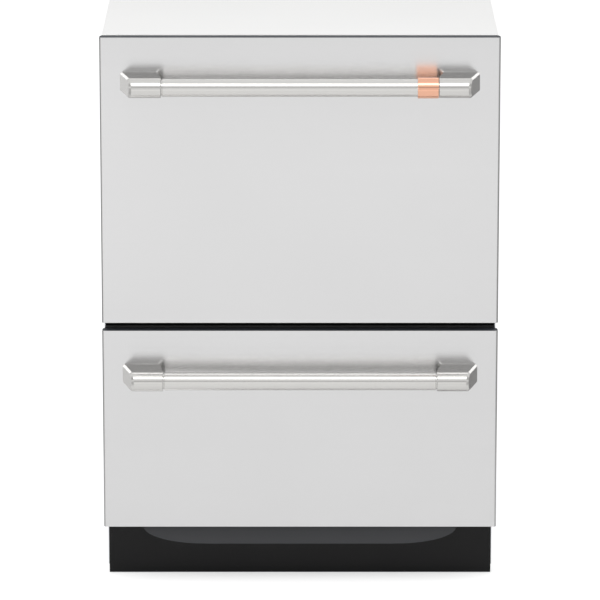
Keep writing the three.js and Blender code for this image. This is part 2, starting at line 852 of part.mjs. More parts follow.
// The dish rack: a basket of wires both ways with rows of tines and four legs to the floor.
function rack(drawer) {
  const h = rackWire / 2;
  const z0 = drawer.floor + armLift + armHubHeight + spindleRise + rackArmGap + h;
  const z1 = drawer.rim - rackTopDrop - rackRim / 2;
  const half = Math.floor(tubHalfWidth(drawer, z0) - tubWall - rackSideGap - h);
  const y0 = dispenserFaceY + rackFrontGap + h;
  const y1 = tubBackY - tubWall - rackBackGap - h;
  const r = rackRim / 2;
  const rim = block([-half - r, half + r], [y0 - r, y1 + r], [z1 - r, z1 + r]);
  const wires = [rim.subtract(block([-half + r, half - r], [y0 + r, y1 - r], [z1 - rackRim, z1 + rackRim]))];
  const longPlaces = spread(rackLongWires, -half, half);
  for (const x of longPlaces) {
    wires.push(bentWire("x", x, [y0, y1], z0, z1));
  }
  for (const y of spread(rackCrossWires, y0, y1)) {
    wires.push(bentWire("y", y, [-half, half], z0 + h, z1));
  }
  const t = tineWire / 2;
  const upright = (x, y, from, to) => block([x - t, x + t], [y - t, y + t], [from, to]);
  for (const x of longPlaces.filter((_, i) => i % 2 === 1).slice(0, tineRows)) {
    for (const y of spread(tinesPerRow, y0 + rackLegInset, y1 - rackLegInset)) {
      wires.push(upright(x, y, z0, z0 + tineHeight));
    }
  }
  for (const x of [longPlaces[0], longPlaces[rackLongWires - 1]]) {
    for (const y of [y0 + rackLegInset, y1 - rackLegInset]) {
      wires.push(upright(x, y, drawer.floor + seatGap, z0));
    }
  }
  return joined(wires);
}

// ---------------------------------------------------------------- door

// The stainless panel: a face with folded sides and a folded bottom. Its top is left to the dark cap.
function frontPanel(drawer) {
  const half = halfDoor;
  const r = panelCorner;
  const back = doorFaceY + panelReturn;
  const face = new THREE.Shape();
  face.moveTo(-half, back);
  face.lineTo(-half, doorFaceY + r);
  face.absarc(-half + r, doorFaceY + r, r, Math.PI, 1.5 * Math.PI, false);
  face.lineTo(half - r, doorFaceY);
  face.absarc(half - r, doorFaceY + r, r, 1.5 * Math.PI, 2 * Math.PI, false);
  face.lineTo(half, back);
  const inside = half - panelSheet;
  const pocket = block([-inside, inside], [doorFaceY + panelSheet, back + 1], [
    drawer.doorBottom + panelSheet,
    drawer.doorTop + 1,
  ]);
  const capRoom = block([-half - 1, half + 1], [doorFaceY + panelSheet, back + 1], [
    drawer.doorTop - capHeight - seatGap,
    drawer.doorTop + 1,
  ]);
  return prism(face, "z", drawer.doorBottom, drawer.doorTop).subtract(pocket).subtract(capRoom);
}

// The dark liner behind the steel: a slab, its top cap, and the ledge that holds the buttons.
function frontLiner(drawer) {
  const half = halfDoor;
  const front = doorFaceY + panelSheet + seatGap;
  const slabHalf = half - panelSheet - seatGap;
  const capBottom = drawer.doorTop - capHeight;
  const slab = block([-slabHalf, slabHalf], [front, doorBackY], [
    drawer.doorBottom + panelSheet + seatGap,
    capBottom + 1,
  ]);
  const cap = new THREE.Shape();
  cap.moveTo(-half, front);
  cap.lineTo(half, front);
  cap.lineTo(half, doorBackY - capCorner);
  cap.absarc(half - capCorner, doorBackY - capCorner, capCorner, 0, Math.PI / 2, false);
  cap.lineTo(-half + capCorner, doorBackY);
  cap.absarc(-half + capCorner, doorBackY - capCorner, capCorner, Math.PI / 2, Math.PI, false);
  const ledgeTop = drawer.rim + ledgeRise;
  const ledgeUnder = ledgeTop - ledgeThickness;
  const ledge = block([-ledgeHalfWidth, ledgeHalfWidth], [doorBackY - 1, ledgeBackY], [ledgeUnder, ledgeTop]);
  const gusset = outline([
    [doorBackY - 1, ledgeUnder + 1],
    [doorBackY - 1, ledgeUnder - gussetHeight],
    [ledgeBackY - 1, ledgeUnder + 1],
  ]);
  const reach = ledgeHalfWidth - gussetThickness;
  const gussets = Array.from({ length: gussetCount }, (_, i) => {
    const x = -reach + (2 * reach * i) / (gussetCount - 1);
    return prism(gusset, "x", x - gussetThickness / 2, x + gussetThickness / 2);
  });
  const wellX = [buttonPlaces[0] - buttonLength, buttonPlaces[buttonCount - 1] + buttonLength];
  const wellY = [buttonY - buttonWidth, buttonY + buttonWidth];
  const well = block(wellX, wellY, [ledgeUnder - buttonWellDepth, ledgeUnder + 1]);
  const room = block(
    [wellX[0] + buttonWellWall, wellX[1] - buttonWellWall],
    [wellY[0] + buttonWellWall, wellY[1] - buttonWellWall],
    [ledgeUnder - buttonWellDepth - 1, ledgeUnder],
  );
  const holes = buttonPlaces.map((x) =>
    block(
      [x - buttonLength / 2 - buttonFit, x + buttonLength / 2 + buttonFit],
      [buttonY - buttonWidth / 2 - buttonFit, buttonY + buttonWidth / 2 + buttonFit],
      [ledgeUnder - 1, ledgeTop + 1],
    ),
  );
  return joined([slab, prism(cap, "z", capBottom, drawer.doorTop), ledge, ...gussets, well])
    .subtract(room)
    .subtract(joined(holes));
}

// A push button: a cap through the ledge and a lip under it.
function button(drawer, x) {
  const top = drawer.rim + ledgeRise + buttonTravel + buttonProud;
  const under = drawer.rim + ledgeRise - ledgeThickness - seatGap;
  const l = buttonLength / 2;
  const w = buttonWidth / 2;
  const lip = [under - buttonLip, under];
  return joined([
    block([x - l, x + l], [buttonY - w, buttonY + w], [lip[0], top]),
    block([x - l - buttonLip, x + l + buttonLip], [buttonY - w - buttonLip, buttonY + w + buttonLip], lip),
  ]);
}

function handleHeight(drawer) {
  return drawer.doorTop - handleDrop;
}

function handleBar(drawer) {
  const end = bracketInner - seatGap;
  return rod(barRadius, "x", [handleAxisY, handleHeight(drawer)], -end, end, barSides);
}

// A bracket: level top and underside, slanted sides, and a round front in line with the bar.
function bracket(drawer) {
  const foot = doorFaceY - seatGap;
  const front = handleFrontY;
  const knee = handleAxisY + bracketHeight / 4;
  const slant = (bracketOuterFoot - bracketOuter) / (foot - handleAxisY);
  const tip = bracketOuter - slant * (handleAxisY - front);
  const plan = outline([
    [bracketInnerFoot, foot],
    [bracketInner, knee],
    [bracketInner, front],
    [tip - bracketChamfer, front],
    [bracketOuter, handleAxisY],
    [bracketOuterFoot, foot],
  ]);
  const z = handleHeight(drawer);
  const r = bracketHeight / 2;
  const side = new THREE.Shape();
  side.moveTo(foot + 1, z - r);
  side.lineTo(foot + 1, z + r);
  side.lineTo(handleAxisY, z + r);
  side.absarc(handleAxisY, z, r, Math.PI / 2, 1.5 * Math.PI, false);
  const upright = prism(plan, "z", z - r - 1, z + r + 1);
  return upright.intersect(prism(side, "x", bracketInner - 1, bracketOuterFoot + 1));
}

// The accent band: a sleeve on the right end of the bar.
function accentBand(drawer) {
  const end = bracketInner - seatGap * 2;
  const axis = [handleAxisY, handleHeight(drawer)];
  const outside = rod(barRadius + bandThickness, "x", axis, end - bandWidth, end, barSides);
  return outside.subtract(rod(barRadius + seatGap, "x", axis, end - bandWidth - 1, end + 1, barSides));
}

// ---------------------------------------------------------------- lid

// The lid, parked above the rim, with a socket for each guide post.
function lid(drawer) {
  const under = drawer.rim + lidRise;
  const top = under + lidThickness;
  const x = postSpacing / 2;
  const bosses = [-x, x].map((at) => rod(postBossRadius, "z", [at, armY], top - 1, top + postBoss));
  const sockets = [-x, x].map((at) =>
    rod(postRadius + seatGap, "z", [at, armY], under + socketFloor, top + postBoss + 1),
  );
  const slab = plate(lidHalf, lidFrontY, lidBackY, tubCorner, under, top);
  return joined([slab, ...bosses]).subtract(joined(sockets));
}

// The seal under the lid's edge.
function lidSeal(drawer) {
  const top = drawer.rim + lidRise - seatGap;
  const bottom = drawer.rim + seatGap + lidTravel;
  const outside = plate(lidHalf, lidFrontY, lidBackY, tubCorner, bottom, top);
  const w = sealWidth;
  const inside = plate(lidHalf - w, lidFrontY + w, lidBackY - w, tubCorner - w, bottom - 1, top + 1);
  return outside.subtract(inside);
}

// The lid's lift: a beam between the side panels, its motor, and two posts that guide the lid.
function lidLift(drawer) {
  const half = insideHalf - seatGap;
  const z0 = drawer.rim + beamRise;
  const z1 = z0 + beamHeight;
  const y = [armY - beamDepth / 2, armY + beamDepth / 2];
  const x = postSpacing / 2;
  const postBottom = drawer.rim + lidRise + socketFloor + seatGap;
  const posts = [-x, x].map((at) => rod(postRadius, "z", [at, armY], postBottom, z0 + 1));
  const motor = block([-liftMotorWidth / 2, liftMotorWidth / 2], y, [z1 - 1, z1 + liftMotorHeight]);
  return joined([block([-half, half], y, [z0, z1]), motor, ...posts]);
}

// ---------------------------------------------------------------- the whole object

function addCabinet() {
  addPart("right_side_panel", sidePanel(), finishes.galvanised);
  addPart("left_side_panel", mirrored(sidePanel()), finishes.galvanised);
  addPart("back_panel", backPanel(), finishes.galvanised);
  addPart("top_panel", topPanel(), finishes.whitePaint);
  addPart("base_pan", basePan(), finishes.galvanised);
  addPart("middle_shelf", middleShelf(), finishes.blackPlastic);
  addPart("toe_kick", toeKick(), finishes.kickPaint);
  addPart("inlet_valve", inletValve(), finishes.servicePlastic);
  addPart("drain_outlet", drainOutlet(), finishes.blackPlastic);
  addPart("terminal_box", terminalBox(), finishes.servicePlastic);
  addPart("control_module", controlModule(), finishes.blackPlastic);
  for (const [name, x, y] of footPlaces) {
    addPart(name, foot(x, y), finishes.blackPlastic);
  }
}

function addDrawer(drawer) {
  const name = (piece) => `${drawer.name}_${piece}`;
  for (const [piece, make] of [
    ["rail", rail],
    ["slide_middle", slideMiddle],
    ["runner", runner],
  ]) {
    const right = make(drawer);
    addPart(name(`${piece}_right`), right, finishes.slideSteel);
    addPart(name(`${piece}_left`), mirrored(right), finishes.slideSteel);
  }
  addPart(name("tub"), tub(drawer), finishes.tubPlastic);
  addPart(name("dispenser_door"), dispenserDoor(drawer), finishes.armPlastic);
  addPart(name("wash_motor"), washMotor(drawer), finishes.blackPlastic);
  addPart(name("spray_arm"), sprayArm(drawer), finishes.armPlastic);
  addPart(name("rack"), rack(drawer), finishes.rackCoat);
  addPart(name("front_panel"), frontPanel(drawer), finishes.brushedSteel);
  addPart(name("front_liner"), frontLiner(drawer), finishes.capPlastic);
  const names = ["power_button", "program_button", "start_button"];
  buttonPlaces.forEach((x, i) => addPart(name(names[i]), button(drawer, x), finishes.handleSteel));
  addPart(name("handle_bar"), handleBar(drawer), finishes.handleSteel);
  addPart(name("bracket_right"), bracket(drawer), finishes.handleSteel);
  addPart(name("bracket_left"), mirrored(bracket(drawer)), finishes.handleSteel);
  addPart(name("lid"), lid(drawer), finishes.lidPlastic);
  addPart(name("lid_seal"), lidSeal(drawer), finishes.seal);
  addPart(name("lid_lift"), lidLift(drawer), finishes.blackPlastic);
}

addCabinet();
addDrawer(upper);
addDrawer(lower);
addPart("accent_band", accentBand(upper), finishes.copper);

export default dishwasher;
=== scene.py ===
"""A built-in dishwasher with two drawers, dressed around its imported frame.

Lengths are millimetres until a form is placed, which turns them into metres.
+X is to the right of someone who faces the doors, +Y runs to the back and +Z up.
"""

import logging
import math
from collections.abc import Callable, Iterable, Sequence
from dataclasses import dataclass
from enum import Enum

import bmesh
import bpy
from mathutils import Matrix, Vector


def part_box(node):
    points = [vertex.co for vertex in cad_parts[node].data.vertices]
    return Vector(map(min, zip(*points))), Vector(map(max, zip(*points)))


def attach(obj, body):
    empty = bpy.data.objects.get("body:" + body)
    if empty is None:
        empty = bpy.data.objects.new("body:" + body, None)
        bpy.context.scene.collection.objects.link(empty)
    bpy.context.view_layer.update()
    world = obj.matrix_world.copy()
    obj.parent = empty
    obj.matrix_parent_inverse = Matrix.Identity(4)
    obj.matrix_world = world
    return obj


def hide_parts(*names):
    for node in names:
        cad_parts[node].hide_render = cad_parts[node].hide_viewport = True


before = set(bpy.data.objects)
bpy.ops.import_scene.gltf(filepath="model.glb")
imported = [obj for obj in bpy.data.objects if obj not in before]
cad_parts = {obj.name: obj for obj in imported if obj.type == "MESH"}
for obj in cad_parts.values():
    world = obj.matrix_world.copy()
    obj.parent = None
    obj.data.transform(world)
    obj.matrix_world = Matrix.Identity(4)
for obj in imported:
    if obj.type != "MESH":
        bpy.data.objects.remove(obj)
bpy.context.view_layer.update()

log = logging.getLogger("dishwasher")

Pair = tuple[float, float]
Place = Sequence[float]
Triple = tuple[float, float, float]
Thing = bpy.types.Object
Socket = bpy.types.NodeSocket
Vert = bmesh.types.BMVert
Edge = bmesh.types.BMEdge
Face = bmesh.types.BMFace
EdgePick = Callable[[Edge], bool]
FacePick = Callable[[Face], bool]

METRES = 0.001
GRAIN_MAP = "grain"
SHARP = 0.52
SQUARE = 1.0
ON_PLANE = 1e-4


class Axis(Enum):
    """A direction of the object."""

    X = 0
    Y = 1
    Z = 2

    @property
    def vector(self) -> Vector:
        """The axis as a unit vector."""
        return Vector([1.0 if i == self.value else 0.0 for i in range(3)])


class Grain(Enum):
    """How a metal was brushed: along an axis, or round a bar that lies along X."""

    ALONG_X = 0
    ALONG_Y = 1
    HOOPED = 3


# -------- shaping


class Form:
    """A mesh in the making, in millimetres."""

    def __init__(self) -> None:
        """Starts empty."""
        self.bm = bmesh.new()

    def all(self) -> list:
        """Every vertex, edge and face."""
        return [*self.bm.verts, *self.bm.edges, *self.bm.faces]

    def move(self, by: Place) -> "Form":
        """Moves the form by a vector."""
        bmesh.ops.translate(self.bm, vec=Vector(by), verts=self.bm.verts)
        return self

    def turn(self, degrees: float, axis: Axis, centre: Place = (0, 0, 0)) -> "Form":
        """Turns the form about an axis through a centre.

        Args:
            degrees: how far.
            axis: the axis.
            centre: a point on it.

        Returns:
            The form itself.
        """
        matrix = Matrix.Rotation(math.radians(degrees), 3, axis.vector)
        bmesh.ops.rotate(self.bm, cent=Vector(centre), matrix=matrix, verts=self.bm.verts)
        return self

    def stretch(
        self, by: Place, centre: Place = (0, 0, 0), pick: Callable[[Vert], bool] | None = None
    ) -> "Form":
        """Scales the vertices that pick chooses, or all of them, about a centre.

        Args:
            by: the factor on each axis.
            centre: what stays in place.
            pick: chooses the vertices.

        Returns:
            The form itself.
        """
        verts = [v for v in self.bm.verts if pick is None or pick(v)]
        bmesh.ops.scale(self.bm, vec=Vector(by), space=Matrix.Translation(-Vector(centre)), verts=verts)
        return self

    def round(self, width: float, steps: int = 2, pick: EdgePick | None = None) -> "Form":
        """Bevels edges.

        Args:
            width: how far the bevel reaches on each side of an edge.
            steps: how many strips it has.
            pick: chooses the edges; without it they are all that turn by more than 30 degrees.

        Returns:
            The form itself.
        """
        chosen = pick or (lambda e: e.is_manifold and e.calc_face_angle(0.0) > SHARP)
        edges = [e for e in self.bm.edges if chosen(e)]
        bmesh.ops.bevel(
            self.bm,
            geom=edges,
            offset=width,
            offset_type="OFFSET",
            segments=steps,
            profile=0.5,
            affect="EDGES",
            clamp_overlap=True,
            material=-1,
        )
        return self

    def split(self, axis: Axis, *places: float) -> "Form":
        """Adds an edge all round the form at each place along an axis.

        Args:
            axis: the axis.
            places: the places.

        Returns:
            The form itself.
        """
        for place in places:
            at = axis.vector * place
            bmesh.ops.bisect_plane(
                self.bm, geom=self.all(), dist=ON_PLANE, plane_co=at, plane_no=axis.vector
            )
        return self

    def trim(self, point: Place, normal: Place) -> "Form":
        """Cuts off what lies beyond a plane and closes the cut.

        Args:
            point: a point of the plane.
            normal: what it looks along.

        Returns:
            The form itself.
        """
        cut = bmesh.ops.bisect_plane(
            self.bm,
            geom=self.all(),
            dist=ON_PLANE,
            plane_co=Vector(point),
            plane_no=Vector(normal).normalized(),
            clear_outer=True,
        )
        edges = [g for g in cut["geom_cut"] if isinstance(g, Edge)]
        bmesh.ops.holes_fill(self.bm, edges=edges, sides=0)
        return self

    def drop(self, pick: FacePick) -> "Form":
        """Deletes the faces that pick chooses."""
        bmesh.ops.delete(self.bm, geom=[f for f in self.bm.faces if pick(f)], context="FACES")
        return self

    def inset(self, pick: FacePick, border: float, depth: float) -> "Form":
        """Insets the faces that pick chooses, together, and moves them along their normals.

        Args:
            pick: chooses the faces.
            border: width of the strip round them.
            depth: how far they move.

        Returns:
            The form itself.
        """
        self.bm.normal_update()
        faces = [f for f in self.bm.faces if pick(f)]
        bmesh.ops.inset_region(
            self.bm, faces=faces, thickness=border, depth=depth, use_even_offset=True, use_boundary=True
        )
        return self

    def thicken(self, wall: float) -> "Form":
        """Gives an open shell a wall, behind its faces.

        Args:
            wall: its thickness.

        Returns:
            The form itself.
        """
        self.bm.normal_update()
        bmesh.ops.solidify(self.bm, geom=list(self.bm.faces), thickness=wall)
        return self

    def face_out(self, within: float = 1e-3) -> "Form":
        """Merges vertices that lie within a distance, and turns every face outwards.

        Args:
            within: the distance.

        Returns:
            The form itself.
        """
        bmesh.ops.remove_doubles(self.bm, verts=self.bm.verts, dist=within)
        bmesh.ops.recalc_face_normals(self.bm, faces=self.bm.faces)
        return self

    def take(self, *others: "Form") -> "Form":
        """Joins other forms to this one and uses them up.

        Args:
            others: the other forms.

        Returns:
            The form itself.
        """
        for other in others:
            mesh = bpy.data.meshes.new("joining")
            other.bm.to_mesh(mesh)
            other.bm.free()
            self.bm.from_mesh(mesh)
            bpy.data.meshes.remove(mesh)
        return self

    def twin(self) -> "Form":
        """A copy of the form, mirrored to the other side of the object.

        Returns:
            The copy.
        """
        copy = Form()
        copy.bm = self.bm.copy()
        bmesh.ops.scale(copy.bm, vec=(-1, 1, 1), verts=copy.bm.verts)
        bmesh.ops.reverse_faces(copy.bm, faces=copy.bm.faces)
        return copy

    def carve(self, *cutters: "Form") -> "Form":
        """Cuts other forms out of this one.

        Args:
            cutters: the other forms.

        Returns:
            The form itself.
        """
        for cutter in cutters:
            things = []
            for form, name in ((self, "stock"), (cutter, "cutter")):
                form.face_out()
                mesh = bpy.data.meshes.new(name)
                form.bm.to_mesh(mesh)
                things.append(bpy.data.objects.new(name, mesh))
                bpy.context.scene.collection.objects.link(things[-1])
            stock, tool = things
            cut = stock.modifiers.new("cut", "BOOLEAN")
            cut.operation, cut.solver, cut.object = "DIFFERENCE", "EXACT", tool
            bpy.context.view_layer.update()
            depsgraph = bpy.context.evaluated_depsgraph_get()
            result = bpy.data.meshes.new_from_object(stock.evaluated_get(depsgraph))
            self.bm.clear()
            self.bm.from_mesh(result)
            cutter.bm.free()
            for thing in things:
                mesh = thing.data
                bpy.data.objects.remove(thing)
                bpy.data.meshes.remove(mesh)
            bpy.data.meshes.remove(result)
        return self


def along(axis: Axis, at: dict[Axis, float] | None = None, reach: float = 0.05) -> EdgePick:
    """Makes a test for edges.

    Args:
        axis: the direction that the edge has.
        at: where its middle lies, on any of the axes.
        reach: how far off it may be.

    Returns:
        The test.
    """

    def chosen(edge: Edge) -> bool:
        """Whether an edge has that direction and place.

        Args:
            edge: the edge.

        Returns:
            Whether it has.
        """
        a, b = (v.co for v in edge.verts)
        way = b - a
        if way.length < 1e-6 or abs(way.normalized()[axis.value]) < 0.999:
            return False
        middle = (a + b) / 2
        return all(abs(middle[k.value] - v) < reach for k, v in (at or {}).items())

    return chosen


def turns_sharply(edge: Edge) -> bool:
    """Whether the faces of an edge turn by about a right angle."""
    return edge.calc_face_angle(0.0) > SQUARE


def folds_sharply(edge: Edge) -> bool:
    """Whether an edge joins two faces of an open sheet and turns by about a right angle."""
    return edge.is_manifold and turns_sharply(edge)


def facing(axis: Axis, sign: int, beyond: float | None = None) -> FacePick:
    """Makes a test for the faces that look along an axis, and lie beyond a place on it if one is given.

    Args:
        axis: the axis.
        sign: 1 or -1, the way along it.
        beyond: the place.

    Returns:
        The test.
    """

    def chosen(face: Face) -> bool:
        """Whether a face looks that way."""
        looks = face.normal[axis.value] * sign >= 0.99
        return looks and (beyond is None or face.calc_center_median()[axis.value] * sign > beyond * sign)

    return chosen


def about(place: float, half: float) -> Pair:
    """What lies so far to both sides of a place."""
    return place - half, place + half


def block(x: Pair, y: Pair, z: Pair, edge: float = 0.0, steps: int = 2) -> Form:
    """A block between two values on each axis.

    Args:
        x: lowest and highest X.
        y: lowest and highest Y.
        z: lowest and highest Z.
        edge: width of the bevel on its edges.
        steps: strips of that bevel.

    Returns:
        The block.
    """
    form = Form()
    bmesh.ops.create_cube(form.bm, size=1.0)
    form.stretch([b - a for a, b in (x, y, z)]).move([(a + b) / 2 for a, b in (x, y, z)])
    return form.round(edge, steps) if edge else form


def prism(points: Sequence[Pair], axis: Axis, span: Pair, edge: float = 0.0, steps: int = 2) -> Form:
    """An outline pushed along an axis.

    Args:
        points: the outline, on the other two axes in their order.
        axis: the direction of the push.
        span: where it starts and ends.
        edge: width of the bevel on its edges.
        steps: strips of that bevel.

    Returns:
        The prism.
    """
    form = Form()
    verts = []
    for point in points:
        place = list(point)
        place.insert(axis.value, span[0])
        verts.append(bmesh.ops.create_vert(form.bm, co=place)["vert"][0])
    edges = [form.bm.edges.new((a, b)) for a, b in zip(verts, [*verts[1:], verts[0]])]
    bmesh.ops.contextual_create(form.bm, geom=edges)
    pushed = bmesh.ops.extrude_face_region(form.bm, geom=list(form.bm.faces), use_keep_orig=True)
    moved = [g for g in pushed["geom"] if isinstance(g, Vert)]
    bmesh.ops.translate(form.bm, vec=axis.vector * (span[1] - span[0]), verts=moved)
    form.face_out()
    return form.round(edge, steps) if edge else form


def lay(form: Form, axis: Axis, centre: Place) -> Form:
    """Lays a form made round Z along an axis, and puts its origin at a centre.

    Args:
        form: the form.
        axis: where its Z goes.
        centre: where its origin goes.

    Returns:
        The form itself.
    """
    if axis is Axis.X:
        form.turn(90, Axis.Y)
    elif axis is Axis.Y:
        form.turn(-90, Axis.X)
    return form.move(centre)


def turned(
    profile: Sequence[Pair],
    sides: int = 32,
    axis: Axis = Axis.Z,
    centre: Place = (0, 0, 0),
    ring: bool = False,
) -> Form:
    """A piece turned on a lathe.

    Args:
        profile: (radius, place along the axis) points; those at radius 0 close it.
        sides: how many facets a turn has.
        axis: the axis it is turned on.
        centre: where that axis starts.
        ring: whether the profile closes on itself.

    Returns:
        The turned piece.
    """
    form = Form()
    verts = [bmesh.ops.create_vert(form.bm, co=(r, 0, h))["vert"][0] for r, h in profile]
    pairs = list(zip(verts, verts[1:])) + ([(verts[-1], verts[0])] if ring else [])
    edges = [form.bm.edges.new(pair) for pair in pairs]
    bmesh.ops.spin(
        form.bm,
        geom=[*verts, *edges],
        cent=(0, 0, 0),
        axis=(0, 0, 1),
        dvec=(0, 0, 0),
        angle=math.tau,
        steps=sides,
        use_merge=True,
        use_duplicate=False,
    )
    form.face_out()
    bmesh.ops.dissolve_degenerate(form.bm, dist=ON_PLANE, edges=form.bm.edges)
    return lay(form.face_out(), axis, centre)


def rod(radius: float, axis: Axis, centre: Place, length: float, sides: int = 24, edge: float = 0.4) -> Form:
    """A round bar from a centre along an axis, with its ends' rims bevelled."""
    profile = [(0, 0), (radius - edge, 0), (radius, edge), (radius, length - edge), (radius - edge, length)]
    return turned([*profile, (0, length)], sides, axis, centre)


def plate(x: Pair, y: Pair, z: Pair, corner: float, edge: float = 0.0, turns: int = 8) -> Form:
    """A level plate with round corners and bevelled rims.

    Args:
        x: lowest and highest X.
        y: lowest and highest Y.
        z: lowest and highest Z.
        corner: radius of the corners.
        edge: width of the bevels.
        turns: steps in a corner.

    Returns:
        The plate.
    """
    form = block(x, y, z).round(corner, turns, along(Axis.Z))
    if edge:
        form.round(edge, 2, turns_sharply)
    return form


def sheet(u: Pair, v: Pair, axis: Axis, at: float) -> Form:
    """A flat sheet without thickness, square to an axis, over two spans on the other axes in their order.

    Args:
        u: the first span.
        v: the second span.
        axis: the axis that it is square to.
        at: its place on that axis.

    Returns:
        The sheet.
    """
    form = Form()
    bmesh.ops.create_grid(form.bm, x_segments=1, y_segments=1, size=0.5)
    form.stretch((u[1] - u[0], v[1] - v[0], 1)).move(((u[0] + u[1]) / 2, (v[0] + v[1]) / 2, at))
    if axis is Axis.X:
        form.turn(90, Axis.Z).turn(90, Axis.Y)
    elif axis is Axis.Y:
        form.turn(90, Axis.X).stretch((1, -1, 1))
    for vert in form.bm.verts:
        vert.co = Vector([round(c, 6) for c in vert.co])
    return form


def press(form: Form, axis: Axis, fields: Iterable[tuple[Pair, Pair]], slope: float, depth: float) -> Form:
    """Presses fields into a flat sheet.

    Args:
        form: the sheet.
        axis: the axis that it is square to.
        fields: spans of each field on the other axes in their order.
        slope: width of the sloping border.
        depth: how deep it is pressed, along the axis, with its sign.

    Returns:
        The form itself.
    """
    first, second = [a for a in Axis if a is not axis]
    for u, v in fields:
        form.split(first, *u).split(second, *v)
        form.bm.normal_update()

        def inside(face: Face) -> bool:
            """Whether a face lies in this field."""
            c = face.calc_center_median()
            return u[0] < c[first.value] < u[1] and v[0] < c[second.value] < v[1]

        flat = [f for f in form.bm.faces if inside(f)]
        sign = 1 if flat[0].normal[axis.value] > 0 else -1
        bmesh.ops.inset_region(
            form.bm, faces=flat, thickness=slope, depth=depth * sign, use_even_offset=True, use_boundary=True
        )
    bmesh.ops.dissolve_limit(form.bm, angle_limit=0.01, verts=form.bm.verts, edges=form.bm.edges)
    return form


def wire(
    path: Sequence[Place], radius: float, bend: float, sides: int = 8, steps: int = 4, closed: bool = False
) -> Form:
    """A round wire bent along a path.

    Args:
        path: the corners that it would have without its bends.
        radius: the wire's radius.
        bend: the radius of its bends.
        sides: facets round the wire.
        steps: steps in each bend.
        closed: whether it closes into a loop.

    Returns:
        The wire.
    """
    points = [Vector(p) for p in path]
    if closed:
        middle = (points[-1] + points[0]) / 2
        points = [middle, *points, middle]
    form = Form()
    bm = form.bm
    at, ahead = points[0], (points[1] - points[0]).normalized()
    lie = Matrix.Translation(at) @ ahead.to_track_quat("Z", "Y").to_matrix().to_4x4()
    bmesh.ops.create_circle(bm, cap_ends=False, radius=radius, segments=sides, matrix=lie)
    first = ring = list(bm.edges)
    for i, corner in enumerate(points[1:], 1):
        after = (points[i + 1] - corner).normalized() if i + 1 < len(points) else ahead
        angle = ahead.angle(after)
        run = bend * math.tan(angle / 2)
        stop = corner - ahead * run
        if (stop - at).length > 1e-4:
            pushed = bmesh.ops.extrude_edge_only(bm, edges=ring)["geom"]
            moved = [g for g in pushed if isinstance(g, Vert)]
            bmesh.ops.translate(bm, vec=stop - at, verts=moved)
            ring = [g for g in pushed if isinstance(g, Edge)]
        if angle > 1e-3:
            axis = ahead.cross(after).normalized()
            spun = bmesh.ops.spin(
                bm,
                geom=ring,
                cent=stop + axis.cross(ahead) * bend,
                axis=axis,
                dvec=(0, 0, 0),
                angle=angle,
                steps=steps,
                use_duplicate=False,
            )
            ring = [g for g in spun["geom_last"] if isinstance(g, Edge)]
        at, ahead = corner + after * run, after
    if not closed:
        bmesh.ops.contextual_create(bm, geom=first)
        bmesh.ops.contextual_create(bm, geom=ring)
    return form.face_out()


def spread(count: int, start: float, end: float) -> list[float]:
    """Places for a row, evenly spread between two limits."""
    return [start + (end - start) * (i + 0.5) / count for i in range(count)]


def screw(centre: Place, axis: Axis, sign: int = 1, radius: float = 3.6) -> Form:
    """A round screw head with a socket, which stands on a centre and looks along an axis.

    Args:
        centre: the middle of its seat.
        axis: the axis that it looks along.
        sign: 1 or -1, the way along it.
        radius: the head's radius.

    Returns:
        The head.
    """
    r = radius
    profile = [(0, 0.8), (r * 0.42, 0.8), (r * 0.5, 1.9), (r * 0.75, 1.8), (r, 0.8), (r, -0.4), (0, -0.4)]
    form = turned(profile, 10)
    if sign < 0:
        form.turn(180, Axis.X)
    return lay(form, axis, centre)


# -------- finishes


